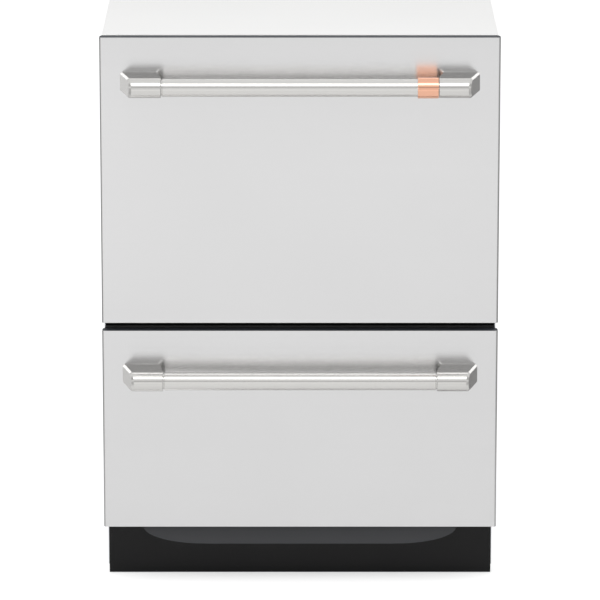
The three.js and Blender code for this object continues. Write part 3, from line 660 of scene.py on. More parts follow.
class Net:
    """The shader nodes of a material or of the world."""

    def __init__(self, owner: bpy.types.Material | bpy.types.World) -> None:
        """Starts with no nodes.

        Args:
            owner: the material or the world.
        """
        owner.use_nodes = True
        self.owner = owner
        self.tree = owner.node_tree
        self.tree.nodes.clear()

    def add(self, kind: str, inputs: dict | None = None, **settings: object) -> bpy.types.Node:
        """Adds a node.

        Args:
            kind: the node's type, without its prefix.
            inputs: what goes into its sockets: a value, or another node's output.
            settings: its own settings.

        Returns:
            The node.
        """
        node = self.tree.nodes.new("ShaderNode" + kind)
        for key, value in settings.items():
            setattr(node, key, value)
        for key, value in (inputs or {}).items():
            if isinstance(value, Socket):
                self.tree.links.new(value, node.inputs[key])
            else:
                node.inputs[key].default_value = value
        return node

    def noise(self, scale: Place, detail: float = 2.0) -> Socket:
        """Noise over the piece's own coordinates, with a scale on each axis, per metre.

        Args:
            scale: the scale on each axis.
            detail: the finer layers.

        Returns:
            The noise.
        """
        coords = self.add("TexCoord").outputs["Object"]
        laid = self.add("Mapping", {"Vector": coords, "Scale": scale}).outputs["Vector"]
        return self.add("TexNoise", {"Vector": laid, "Scale": 1.0, "Detail": detail}).outputs["Fac"]

    def ranged(self, value: Socket, low: float, high: float) -> Socket:
        """Spreads a noise over a range."""
        inputs = {"Value": value, "From Min": 0.3, "From Max": 0.7, "To Min": low, "To Max": high}
        return self.add("MapRange", inputs).outputs["Result"]

    def shaded(self, colour: Triple, shade: Socket) -> Socket:
        """A colour, made lighter or darker by a factor."""
        inputs = {"Color": (*linear(colour), 1.0), "Value": shade}
        return self.add("HueSaturation", inputs).outputs["Color"]

    def bump(self, height: Socket, depth: float, strength: float) -> Socket:
        """Relief from a height, its depth in millimetres."""
        inputs = {"Height": height, "Distance": depth * METRES, "Strength": strength}
        return self.add("Bump", inputs).outputs["Normal"]

    def ramp(self, value: Socket, stops: Sequence[Pair]) -> Socket:
        """Follows a value along a smooth line through (place, height) stops.

        Args:
            value: the place on the line.
            stops: the places, from 0 to 1, and their heights.

        Returns:
            The height there.
        """
        node = self.add("ValToRGB", {"Fac": value})
        line = node.color_ramp
        line.interpolation = "EASE"
        while len(line.elements) < len(stops):
            line.elements.new(1.0)
        for element, (at, height) in zip(line.elements, stops):
            element.position = at
            element.color = (height, height, height, 1.0)
        return node.outputs["Color"]

    def fade(self, value: Socket, start: Pair, end: Pair, how: str = "LINEAR") -> Socket:
        """Goes from one height to another between two places.

        Args:
            value: the place.
            start: the first place and its height.
            end: the last place and its height.
            how: the node's name for the way between them.

        Returns:
            The height there.
        """
        ends = {"From Min": start[0], "To Min": start[1], "From Max": end[0], "To Max": end[1]}
        return self.add("MapRange", {"Value": value, **ends}, interpolation_type=how).outputs[0]

    def mathed(self, how: str, first: object, second: object) -> Socket:
        """Adds, multiplies or compares two values."""
        return self.add("Math", {0: first, 1: second}, operation=how).outputs[0]

    def finish(self, shader: Socket) -> None:
        """Ends the nodes with their surface."""
        kind = "World" if isinstance(self.owner, bpy.types.World) else "Material"
        self.add("Output" + kind, {"Surface": shader})


def linear(colour: Place) -> tuple[float, ...]:
    """A screen colour as light."""
    return tuple(c / 12.92 if c <= 0.04045 else ((c + 0.055) / 1.055) ** 2.4 for c in colour)


@dataclass(frozen=True)
class Finish:
    """A plain finish: the record's slot that it stands for, its colour and its gloss."""

    name: str
    slot: str
    colour: Triple
    roughness: float
    specular: float = 0.5
    tint: float = 0.03

    def shade(self, net: Net) -> Socket:
        """Builds the surface and returns its shader."""
        raise NotImplementedError

    def toned(self, net: Net, noise: Socket) -> Socket:
        """The colour, lighter and darker by the tint as a noise has it."""
        return net.shaded(self.colour, net.ranged(noise, 1 - self.tint, 1 + self.tint))

    def uneven(self, net: Net, noise: Socket, less: float, more: float) -> Socket:
        """The roughness, less and more by so much as a noise has it."""
        return net.ranged(noise, self.roughness - less, self.roughness + more)


@dataclass(frozen=True)
class BrushedMetal(Finish):
    """Metal with fine scratches that all run one way, so that reflections smear across them."""

    grain: Grain = Grain.ALONG_X
    smear: float = 0.7
    depth: float = 0.02
    grazing: float = 1.0
    # flange: the span on X, from the middle, over which painted shade darkens the rounded side edges
    flange: Pair | None = None
    painted_edge_shade_level: float = 0.36
    across_scratch: float = 1600.0
    along_scratch: float = 5.0
    unevenness: float = 0.015

    def shade(self, net: Net) -> Socket:
        """Builds the surface.

        Args:
            net: the nodes.

        Returns:
            The shader.
        """
        fine, long = self.across_scratch, self.along_scratch
        if self.grain is Grain.HOOPED:
            scale = [fine, long * 4, long * 4]
        else:
            scale = [long if i == self.grain.value else fine for i in range(3)]
        scratches = net.noise(scale, 3.0)
        streaks = net.noise([s * 0.12 for s in scale], 2.0)
        cloud = net.noise((5.0, 5.0, 5.0), 1.0)
        total = net.mathed("ADD", net.mathed("ADD", scratches, streaks), cloud)
        shade = net.ranged(net.mathed("DIVIDE", total, 3.0), 1 - self.tint, 1 + self.tint)
        # painted shade: the colour darkens towards the rounded side edges
        if self.flange:
            shade = net.mathed("MULTIPLY", shade, self.painted_edge_shade(net))
        inputs = {
            "Base Color": net.shaded(self.colour, shade),
            "Metallic": 1.0,
            "Specular Tint": (self.grazing, self.grazing, self.grazing, 1.0),
            "Roughness": self.uneven(net, scratches, self.unevenness, self.unevenness),
            "Anisotropic": self.smear,
            "Tangent": net.add("Tangent", direction_type="UV_MAP", uv_map=GRAIN_MAP).outputs[0],
            "Normal": net.bump(scratches, self.depth, 0.35),
        }
        return net.add("BsdfPrincipled", inputs).outputs[0]

    def painted_edge_shade(self, net: Net) -> Socket:
        """How much darker the steel is painted towards its rounded side edges, as painted shade.

        Args:
            net: the nodes.

        Returns:
            The factor.
        """
        across = net.add("SeparateXYZ", {"Vector": net.add("TexCoord").outputs["Object"]}).outputs["X"]
        from_middle = net.add("Math", {0: across}, operation="ABSOLUTE").outputs[0]
        start, end = (place * METRES for place in self.flange)
        return net.fade(from_middle, (start, 1.0), (end, self.painted_edge_shade_level))


@dataclass(frozen=True)
class Moulded(Finish):
    """Moulded plastic or rubber with a fine texture."""

    texture: float = 900.0
    relief: float = 0.05
    cloud: float = 7.0

    def shade(self, net: Net) -> Socket:
        """Builds the surface.

        Args:
            net: the nodes.

        Returns:
            The shader.
        """
        pores = net.noise([self.texture] * 3, 2.0)
        cloud = net.noise([self.cloud] * 3, 2.0)
        inputs = {
            "Base Color": self.toned(net, cloud),
            "Roughness": self.uneven(net, cloud, 0.05, 0.05),
            "Specular IOR Level": self.specular,
            "Normal": net.bump(pores, self.relief, 0.5),
        }
        return net.add("BsdfPrincipled", inputs).outputs[0]


@dataclass(frozen=True)
class Painted(Finish):
    """Sprayed paint on steel, with a slight orange peel."""

    peel: float = 260.0
    cloud: float = 4.0

    def shade(self, net: Net) -> Socket:
        """Builds the surface.

        Args:
            net: the nodes.

        Returns:
            The shader.
        """
        peel = net.noise([self.peel] * 3, 1.0)
        cloud = net.noise([self.cloud] * 3, 2.0)
        inputs = {
            "Base Color": self.toned(net, cloud),
            "Roughness": self.uneven(net, cloud, 0.03, 0.05),
            "Specular IOR Level": self.specular,
            "Normal": net.bump(peel, 0.03, 0.3),
        }
        return net.add("BsdfPrincipled", inputs).outputs[0]


@dataclass(frozen=True)
class Zinc(Finish):
    """Zinc-coated sheet: flat crystals of slightly different grey."""

    crystal: float = 70.0
    cloud: float = 3.0
    relief: float = 120.0

    def shade(self, net: Net) -> Socket:
        """Builds the surface.

        Args:
            net: the nodes.

        Returns:
            The shader.
        """
        coords = net.add("TexCoord").outputs["Object"]
        cells = net.add("TexVoronoi", {"Vector": coords, "Scale": self.crystal, "Randomness": 1.0})
        tone = net.add("SeparateColor", {"Color": cells.outputs["Color"]}).outputs[0]
        cloud = net.noise([self.cloud] * 3, 2.0)
        half = net.mathed("MULTIPLY", net.mathed("ADD", tone, cloud), 0.5)
        inputs = {
            "Base Color": self.toned(net, half),
            "Metallic": 1.0,
            "Roughness": self.uneven(net, tone, 0.02, 0.02),
            "Normal": net.bump(net.noise([self.relief] * 3, 2.0), 0.03, 0.3),
        }
        return net.add("BsdfPrincipled", inputs).outputs[0]


# the door steel gets painted shade on its rounded side edges, over its flange span
DOOR_STEEL = BrushedMetal(
    "door_steel", "front_steel", (0.866, 0.865, 0.866), 0.21,
    smear=0.6, tint=0.02, depth=0.004, flange=(296.0, 298.6)
)
BAR_STEEL = BrushedMetal(
    "bar_steel", "handle_steel", (0.85, 0.845, 0.835), 0.22,
    grain=Grain.HOOPED, smear=0.5, tint=0.01, depth=0.0015, grazing=0.88
)
BRACKET_STEEL = BrushedMetal(
    "bracket_steel", "handle_steel", (0.84, 0.835, 0.825), 0.17,
    smear=0.3, tint=0.015, depth=0.003, grazing=0.6
)
COPPER = BrushedMetal(
    "copper", "copper", (0.955, 0.735, 0.625), 0.15, grain=Grain.HOOPED, smear=0.4, tint=0.02, depth=0.003
)
CAP = Moulded("cap_plastic", "cap_plastic", (0.225, 0.236, 0.257), 0.5, specular=0.25, texture=1200.0)
TUB = Moulded("tub_plastic", "tub_plastic", (0.242, 0.245, 0.253), 0.5, specular=0.25, texture=700.0)
KICK = Painted("kick_black", "kick_black", (0.05, 0.05, 0.053), 0.22, specular=0.25)
WHITE = Painted("cabinet_white", "cabinet_white", (0.972, 0.972, 0.969), 0.5, specular=0.3, tint=0.006)
GALVANISED = Zinc("galvanised", "galvanised", (0.78, 0.79, 0.80), 0.48, tint=0.03)
SLIDE = BrushedMetal("slide_steel", "slide_steel", (0.70, 0.71, 0.72), 0.35, grain=Grain.ALONG_Y, smear=0.4)
SHELF = Painted("shelf_black", "shelf_black", (0.11, 0.11, 0.115), 0.5)
RACK = Moulded("rack_coat", "rack_coat", (0.56, 0.57, 0.585), 0.38, texture=500.0, relief=0.02)
ARM = Moulded("arm_plastic", "arm_plastic", (0.44, 0.45, 0.465), 0.42)
LID = Moulded("lid_plastic", "lid_plastic", (0.78, 0.79, 0.80), 0.48)
SEAL = Moulded("seal_rubber", "seal_rubber", (0.17, 0.17, 0.175), 0.78, specular=0.3, texture=400.0)
BLACK = Moulded("black_plastic", "black_plastic", (0.12, 0.12, 0.125), 0.5)
SERVICE = Moulded("service_plastic", "service_plastic", (0.90, 0.89, 0.86), 0.45)


class Materials:
    """Makes each finish's material once."""

    made: dict[Finish, bpy.types.Material] = {}

    @classmethod
    def of(cls, finish: Finish) -> bpy.types.Material:
        """The material of a finish.

        Args:
            finish: the finish.

        Returns:
            The material.
        """
        if finish not in cls.made:
            cls.made[finish] = bpy.data.materials.new(finish.name)
            net = Net(cls.made[finish])
            net.finish(finish.shade(net))
        return cls.made[finish]


def lay_grain(mesh: bpy.types.Mesh, grain: Grain) -> None:
    """Lays the map whose first direction is the one that reflections smear along.

    Args:
        mesh: the piece's mesh, which gets the map.
        grain: the way it was brushed.
    """
    layer = mesh.uv_layers.new(name=GRAIN_MAP)
    for face in mesh.polygons:
        normal = [abs(c) for c in face.normal]
        flat = normal.index(max(normal))
        if grain is Grain.HOOPED:
            smear = 0 if flat != 0 else 1
        elif flat == grain.value:
            smear = (flat + 1) % 3
        else:
            smear = 3 - flat - grain.value
        other = 3 - flat - smear
        for loop in face.loop_indices:
            place = mesh.vertices[mesh.loops[loop].vertex_index].co
            layer.data[loop].uv = (place[smear], place[other])


def place(
    form: Form,
    name: str,
    body: str,
    finish: Finish,
    stands_for: Sequence[str] = (),
    soft_below: float = 38.0,
) -> Thing:
    """Turns a form into a finished piece of the object.

    Args:
        form: the shape, in millimetres.
        name: the piece's name.
        body: the moving body that it rides on.
        finish: its finish.
        stands_for: the CAD nodes that it is shown in place of.
        soft_below: edges that turn by fewer degrees are shaded smooth.

    Returns:
        The piece.
    """
    form.face_out()
    bmesh.ops.scale(form.bm, vec=(METRES,) * 3, verts=form.bm.verts)
    mesh = bpy.data.meshes.new(name)
    form.bm.to_mesh(mesh)
    form.bm.free()
    mesh.materials.append(Materials.of(finish))
    mesh.shade_smooth()
    mesh.set_sharp_from_angle(angle=math.radians(soft_below))
    if isinstance(finish, BrushedMetal):
        lay_grain(mesh, finish.grain)
    piece = bpy.data.objects.new(name, mesh)
    bpy.context.scene.collection.objects.link(piece)
    even = piece.modifiers.new("even shading", "WEIGHTED_NORMAL")
    even.keep_sharp = True
    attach(piece, body)
    if stands_for:
        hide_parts(*stands_for)
    log.info("%s: %d faces, on %s", name, len(mesh.polygons), body)
    return piece


# -------- sizes that pieces share


def span(node: str, axis: Axis) -> Pair:
    """Where a CAD node starts and ends on an axis, to a thousandth of a millimetre."""
    low, high = (round(corner[axis.value] / METRES, 3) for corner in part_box(node))
    return low, high


def middle(node: str, axis: Axis) -> float:
    """The middle of a CAD node on an axis."""
    return round(sum(span(node, axis)) / 2, 3)


def length(node: str, axis: Axis) -> float:
    """How far a CAD node reaches along an axis."""
    low, high = span(node, axis)
    return round(high - low, 3)


@dataclass(frozen=True)
class Level:
    """One drawer's heights."""

    name: str
    underside: float
    rim: float
    door_bottom: float
    door_top: float
    handle: float
    bay: float = 51.0

    @classmethod
    def of(cls, name: str) -> "Level":
        """Reads a drawer's heights off its tub, its door and its bar."""
        tub = span(f"{name}_tub", Axis.Z)
        return cls(name, *tub, *span(f"{name}_front_panel", Axis.Z), middle(f"{name}_handle_bar", Axis.Z))

    @property
    def floor(self) -> float:
        """The tub's floor, over the bay that holds the motor."""
        return self.underside + self.bay

    @property
    def body(self) -> str:
        """The moving body of the drawer."""
        return f"{self.name}_drawer"


UPPER = Level.of("upper")
LOWER = Level.of("lower")

SEAT = 0.3
SHEET = 1.5
HALF_DOOR = span("upper_front_panel", Axis.X)[1]
DOOR_FACE = span("upper_front_panel", Axis.Y)[0]
DOOR_BACK = DOOR_FACE + 20.0
BACK = span("back_panel", Axis.Y)[1]
HALF_CABINET = span("top_panel", Axis.X)[1]
INSIDE = HALF_CABINET - SHEET
CABINET_FRONT = span("top_panel", Axis.Y)[0]
BAR_Y = middle("upper_handle_bar", Axis.Y)
ARM_Y = middle("upper_spray_arm", Axis.Y)
SERVICE_Z = middle("terminal_box", Axis.Z)
BUTTONS = ("power", "program", "start")


# -------- doors and handles


@dataclass
class Door:
    """A drawer's front: the brushed steel, the dark liner behind it and its buttons."""

    level: Level
    fold: float = length("upper_front_panel", Axis.Y)
    corner: float = 3.0
    steel: float = 1.2
    cap: float = 3.0
    cap_corner: float = 7.0
    ledge_half: float = 258.2
    ledge_back: float = span("upper_front_liner", Axis.Y)[1]
    ledge_rise: float = 2.0
    ledge_wall: float = 2.5
    gusset_drop: float = 40.0
    shroud_depth: float = 20.0
    button_y: float = middle("upper_power_button", Axis.Y)
    button_x: tuple[float, ...] = tuple(middle(f"upper_{name}_button", Axis.X) for name in BUTTONS)
    button_half: Pair = (8.0, 4.5)
    button_lip: float = 1.5
    lamp_x: tuple[float, ...] = (201.0, 208.0, 215.0)
    lamp_strip: Pair = (194.0, 222.0)

    def panel(self) -> Form:
        """The folded steel.

        Returns:
            The steel.
        """
        low, high = self.level.door_bottom, self.level.door_top
        back = DOOR_FACE + self.fold
        form = block((-HALF_DOOR, HALF_DOOR), (DOOR_FACE, back), (low, high))
        form.round(self.corner, 6, along(Axis.Z, {Axis.Y: DOOR_FACE}))
        form.drop(lambda f: abs(f.normal.y - 1) < 0.01 or abs(f.normal.z - 1) < 0.01)
        form.split(Axis.Z, high - self.cap - SEAT)
        behind = DOOR_FACE + self.corner
        form.drop(lambda f: self._under_cap(f.calc_center_median(), behind))
        form.round(0.8, 3, lambda e: e.is_manifold and e.calc_face_angle(0.0) > 1.2)
        form.thicken(self.steel)
        return form.face_out().round(0.35, 2, self._cut_rim)

    def _under_cap(self, place: Vector, behind: float) -> bool:
        """Whether a place on the folded sides is where the cap strip goes."""
        return place.z > self.level.door_top - self.cap and place.y > behind

    def _cut_rim(self, edge: Edge) -> bool:
        """Whether an edge is on the steel's cut rim at the door's top."""
        top = all(v.co.z > self.level.door_top - 0.01 for v in edge.verts)
        return top and edge.calc_face_angle(0.0) > 1.0

    def liner(self) -> Form:
        """The slab behind the steel, its cap strip, and the ledge that holds the buttons.

        Returns:
            The liner.
        """
        low, high = self.level.door_bottom, self.level.door_top
        front = DOOR_FACE + self.steel + SEAT
        half = HALF_DOOR - self.steel - SEAT
        slab = block((-half, half), (front, DOOR_BACK), (low + self.steel + SEAT, high - self.cap))
        slab.inset(facing(Axis.Y, 1), 24.0, 0.0)
        slab.inset(lambda f: f.normal.y > 0.99 and f.calc_area() > 60000, 5.0, -2.5)
        cap = block((-HALF_DOOR, HALF_DOOR), (front, DOOR_BACK), (high - self.cap, high))
        cap.round(self.cap_corner, 8, along(Axis.Z, {Axis.Y: DOOR_BACK}))
        cap.round(0.7, 2, turns_sharply)
        return slab.take(cap, self._ledge(), *self._gussets(), self._well())

    def _ledge(self) -> Form:
        """The ledge with a hole for each button.

        Returns:
            The ledge.
        """
        top = self.level.rim + self.ledge_rise
        wide, deep = (half + SEAT for half in self.button_half)
        y = (self.button_y - deep, self.button_y + deep)
        holes = [
            block(about(x, wide), y, (top - 6.0, top + 2.0)).round(1.3, 3, along(Axis.Z))
            for x in self.button_x
        ]
        x = (-self.ledge_half, self.ledge_half)
        ledge = block(x, (DOOR_BACK - 1.0, self.ledge_back), (top - self.ledge_wall, top))
        ledge.round(9.0, 5, along(Axis.Z, {Axis.Y: self.ledge_back}))
        ledge.round(0.8, 2, turns_sharply)
        return ledge.carve(*holes)

    def _gussets(self) -> list[Form]:
        """The ribs under the ledge.

        Returns:
            The ribs.
        """
        under = self.level.rim + self.ledge_rise - self.ledge_wall
        reach = self.ledge_half - 3.0
        wall = DOOR_BACK - 1
        points = [(wall, under + 1), (wall, under - self.gusset_drop), (self.ledge_back - 1, under + 1)]
        places = [-reach, -reach / 3, reach / 3, reach]
        return [prism(points, Axis.X, about(x, 1.5), 0.4) for x in places]

    def _well(self) -> Form:
        """The shroud round the buttons, under the ledge.

        Returns:
            The shroud.
        """
        under = self.level.rim + self.ledge_rise - self.ledge_wall
        x = (self.button_x[0] - 16.0, self.button_x[-1] + 16.0)
        y = (self.button_y - 9.0, self.button_y + 9.0)
        shroud = block(x, y, (under - self.shroud_depth, under + 0.5)).round(2.0, 3, along(Axis.Z))
        return shroud.drop(lambda f: abs(f.normal.z) > 0.9).thicken(2.0)

    def button(self, index: int) -> Form:
        """A push button with a dished top and a raised mark.

        Args:
            index: which of the three it is.

        Returns:
            The button.
        """
        x, y = self.button_x[index], self.button_y
        top = self.level.rim + 3.5
        under = self.level.rim - 0.8
        w, d = self.button_half
        cap = block(about(x, w), about(y, d), (under - 1.5, top)).round(1.0, 3, along(Axis.Z))
        cap.round(0.6, 3, lambda e: turns_sharply(e) and e.verts[0].co.z > top - 0.1)
        cap.inset(lambda f: f.normal.z > 0.99, 1.2, -0.3)
        w, d = w + self.button_lip, d + self.button_lip
        lip = block(about(x, w), about(y, d), (under - 1.5, under), 0.3)
        return cap.take(lip, self._mark(index, x, y, top - 0.4))

    def _mark(self, index: int, x: float, y: float, z: float, raised: float = 0.35) -> Form:
        """The raised mark of a button.

        Args:
            index: which button it is: a ring with a bar, three bars, or an arrowhead.
            x: the mark's middle on X.
            y: the mark's middle on Y.
            z: the height that it stands on.
            raised: how tall it is.

        Returns:
            The mark.
        """
        tall = (z, z + raised)
        if index == 0:
            ring = [(1.5, z), (2.1, z), (2.1, tall[1]), (1.5, tall[1])]
            bar = block(about(x, 0.3), (y, y + 2.8), (z, z + 0.45), 0.1)
            return turned(ring, 20, centre=(x, y, 0), ring=True).take(bar)
        if index == 1:
            wide = about(x, 2.2)
            rows = [(y + at - 0.25, y + at + 0.25) for at in (-1.2, 0.0, 1.2)]
            return Form().take(*[block(wide, row, tall, 0.1) for row in rows])
        return prism([(x - 1.4, y - 1.8), (x + 1.8, y), (x - 1.4, y + 1.8)], Axis.Z, tall, 0.1)

    def window(self) -> Form:
        """The strip of three small lamps beside the buttons.

        Returns:
            The strip.
        """
        top = self.level.rim + self.ledge_rise
        y = (self.button_y - 3, self.button_y + 3)
        strip = plate(self.lamp_strip, y, about(top, 0.5), 2.6, 0.3)
        dome = [(0, 0.9), (0.7, 0.8), (1.2, 0.3), (1.2, 0)]
        for x in self.lamp_x:
            strip.take(turned(dome, 12, centre=(x, self.button_y, top + 0.2)))
        return strip

    def build(self) -> Thing:
        """Places every piece of the door and returns its steel.

        Returns:
            The steel.
        """
        name, body = self.level.name, self.level.body
        steel = place(self.panel(), f"{name}_door_steel", body, DOOR_STEEL, [f"{name}_front_panel"])
        place(self.liner(), f"{name}_door_liner", body, CAP, [f"{name}_front_liner"])
        place(self.window(), f"{name}_status_lamps", body, BLACK)
        for index, button in enumerate(BUTTONS):
            node = f"{name}_{button}_button"
            place(self.button(index), f"{name}_{button}_key", f"{name}_{button}", BRACKET_STEEL, [node])
        return steel


@dataclass
class Handle:
    """A drawer's handle: a round bar between two brackets, and a copper band on the upper one."""

    level: Level
    bar: float = length("upper_handle_bar", Axis.Z) / 2
    half_height: float = length("upper_bracket_right", Axis.Z) / 2
    inner_foot: float = 214.0
    inner: float = span("upper_bracket_right", Axis.X)[0]
    outer: float = 252.5
    outer_foot: float = span("upper_bracket_right", Axis.X)[1]
    front: float = span("upper_bracket_right", Axis.Y)[0]
    end_round: float = 2.8
    edge: float = 0.9
    groove: Pair = (1.6, 1.4)
    band_width: float = length("accent_band", Axis.X)
    band_radius: float = 15.8

    def rail(self) -> Form:
        """The bar, with a fine shadow groove where it meets each bracket.

        Returns:
            The bar.
        """
        end, r = self.inner - SEAT, self.bar
        deep, wide = self.groove
        half = [(0, 0), (r - deep, 0), (r - deep, wide), (r - 0.5, wide), (r, wide + 0.5)]
        profile = [*half, *[(radius, 2 * end - h) for radius, h in reversed(half)]]
        return turned(profile, 64, Axis.X, (-end, BAR_Y, self.level.handle))

    def bracket(self) -> Form:
        """The right bracket: level top and underside, slanted sides and a round front.

        Returns:
            The bracket.
        """
        z, r = self.level.handle, self.half_height
        foot = DOOR_FACE - SEAT
        form = block((self.inner - 20, self.outer_foot + 20), (self.front, foot), about(z, r))
        form.round(r - 0.01, 14, along(Axis.X, {Axis.Y: self.front}))
        slant = (self.outer_foot - self.outer) / (foot - self.front)
        knee = BAR_Y + r / 2
        lean = (self.inner_foot - self.inner) / (foot - knee)
        form.trim((self.inner, self.front, z), (-1, 0, 0))
        form.trim((self.inner, knee, z), (-1, lean, 0))
        form.trim((self.outer_foot, foot, z), (1, -slant, 0))
        form.face_out(0.03).round(self.end_round, 1, self._end_rim)
        return form.face_out().round(self.edge, 3, self._inner_rim)

    def _end_rim(self, edge: Edge) -> bool:
        """Whether an edge goes round the bracket's outer side, apart from its foot."""
        at_foot = all(v.co.y > DOOR_FACE - 1.0 for v in edge.verts)
        return not at_foot and edge.is_manifold and any(f.normal.x > 0.9 for f in edge.link_faces)

    def _inner_rim(self, edge: Edge) -> bool:
        """Whether an edge goes round the bracket's inner side or its foot."""
        bent = edge.is_manifold and edge.calc_face_angle(0.0) >= 0.35
        return bent and any(f.normal.x < -0.9 or f.normal.y > 0.9 for f in edge.link_faces)

    def band(self) -> Form:
        """The copper band on the right end of the bar.

        Returns:
            The band.
        """
        end = self.inner - 2 * SEAT
        wide, r = self.band_width, self.band_radius
        half = [(self.bar + SEAT, 0.0), (r - 0.6, 0.0), (r - 0.15, 0.2), (r, 0.7)]
        profile = [*half, *[(radius, wide - h) for radius, h in reversed(half)]]
        return turned(profile, 64, Axis.X, (end - wide, BAR_Y, self.level.handle), ring=True)

    def build(self) -> None:
        """Places every piece of the handle."""
        name, body = self.level.name, self.level.body
        place(self.rail(), f"{name}_grip_bar", body, BAR_STEEL, [f"{name}_handle_bar"])
        right = self.bracket()
        left = right.twin()
        place(right, f"{name}_grip_bracket_right", body, BRACKET_STEEL, [f"{name}_bracket_right"], 28)
        place(left, f"{name}_grip_bracket_left", body, BRACKET_STEEL, [f"{name}_bracket_left"], 28)
        if self.level is UPPER:
            place(self.band(), "copper_band", body, COPPER, ["accent_band"])


# -------- inside a drawer


def rounded(half: float, y: Pair, z: float, corner: float, turns: int = 8) -> Form:
    """A level sheet with round corners, without thickness.

    Args:
        half: half its width.
        y: lowest and highest Y.
        z: its height.
        corner: radius of the corners.
        turns: steps in a corner.

    Returns:
        The sheet.
    """
    form = sheet((-half, half), y, Axis.Z, z)
    bmesh.ops.bevel(
        form.bm,
        geom=list(form.bm.verts),
        offset=corner,
        offset_type="OFFSET",
        segments=turns,
        profile=0.5,
        affect="VERTICES",
    )
    return form


def loop_plate(half: float, y: Pair, z: float, corner: float, border: float, wall: float) -> Form:
    """A level ring with round corners, whose top is at a height.

    Args:
        half: half its width.
        y: lowest and highest Y.
        z: its top.
        corner: radius of the corners.
        border: the ring's width.
        wall: its thickness.

    Returns:
        The ring.
    """
    form = rounded(half, y, z, corner)
    form.inset(lambda f: True, border, 0.0)
    form.drop(lambda f: f.calc_area() > 0.5 * (2 * half - 2 * border) * (y[1] - y[0] - 2 * border))
    return form.thicken(wall).face_out()


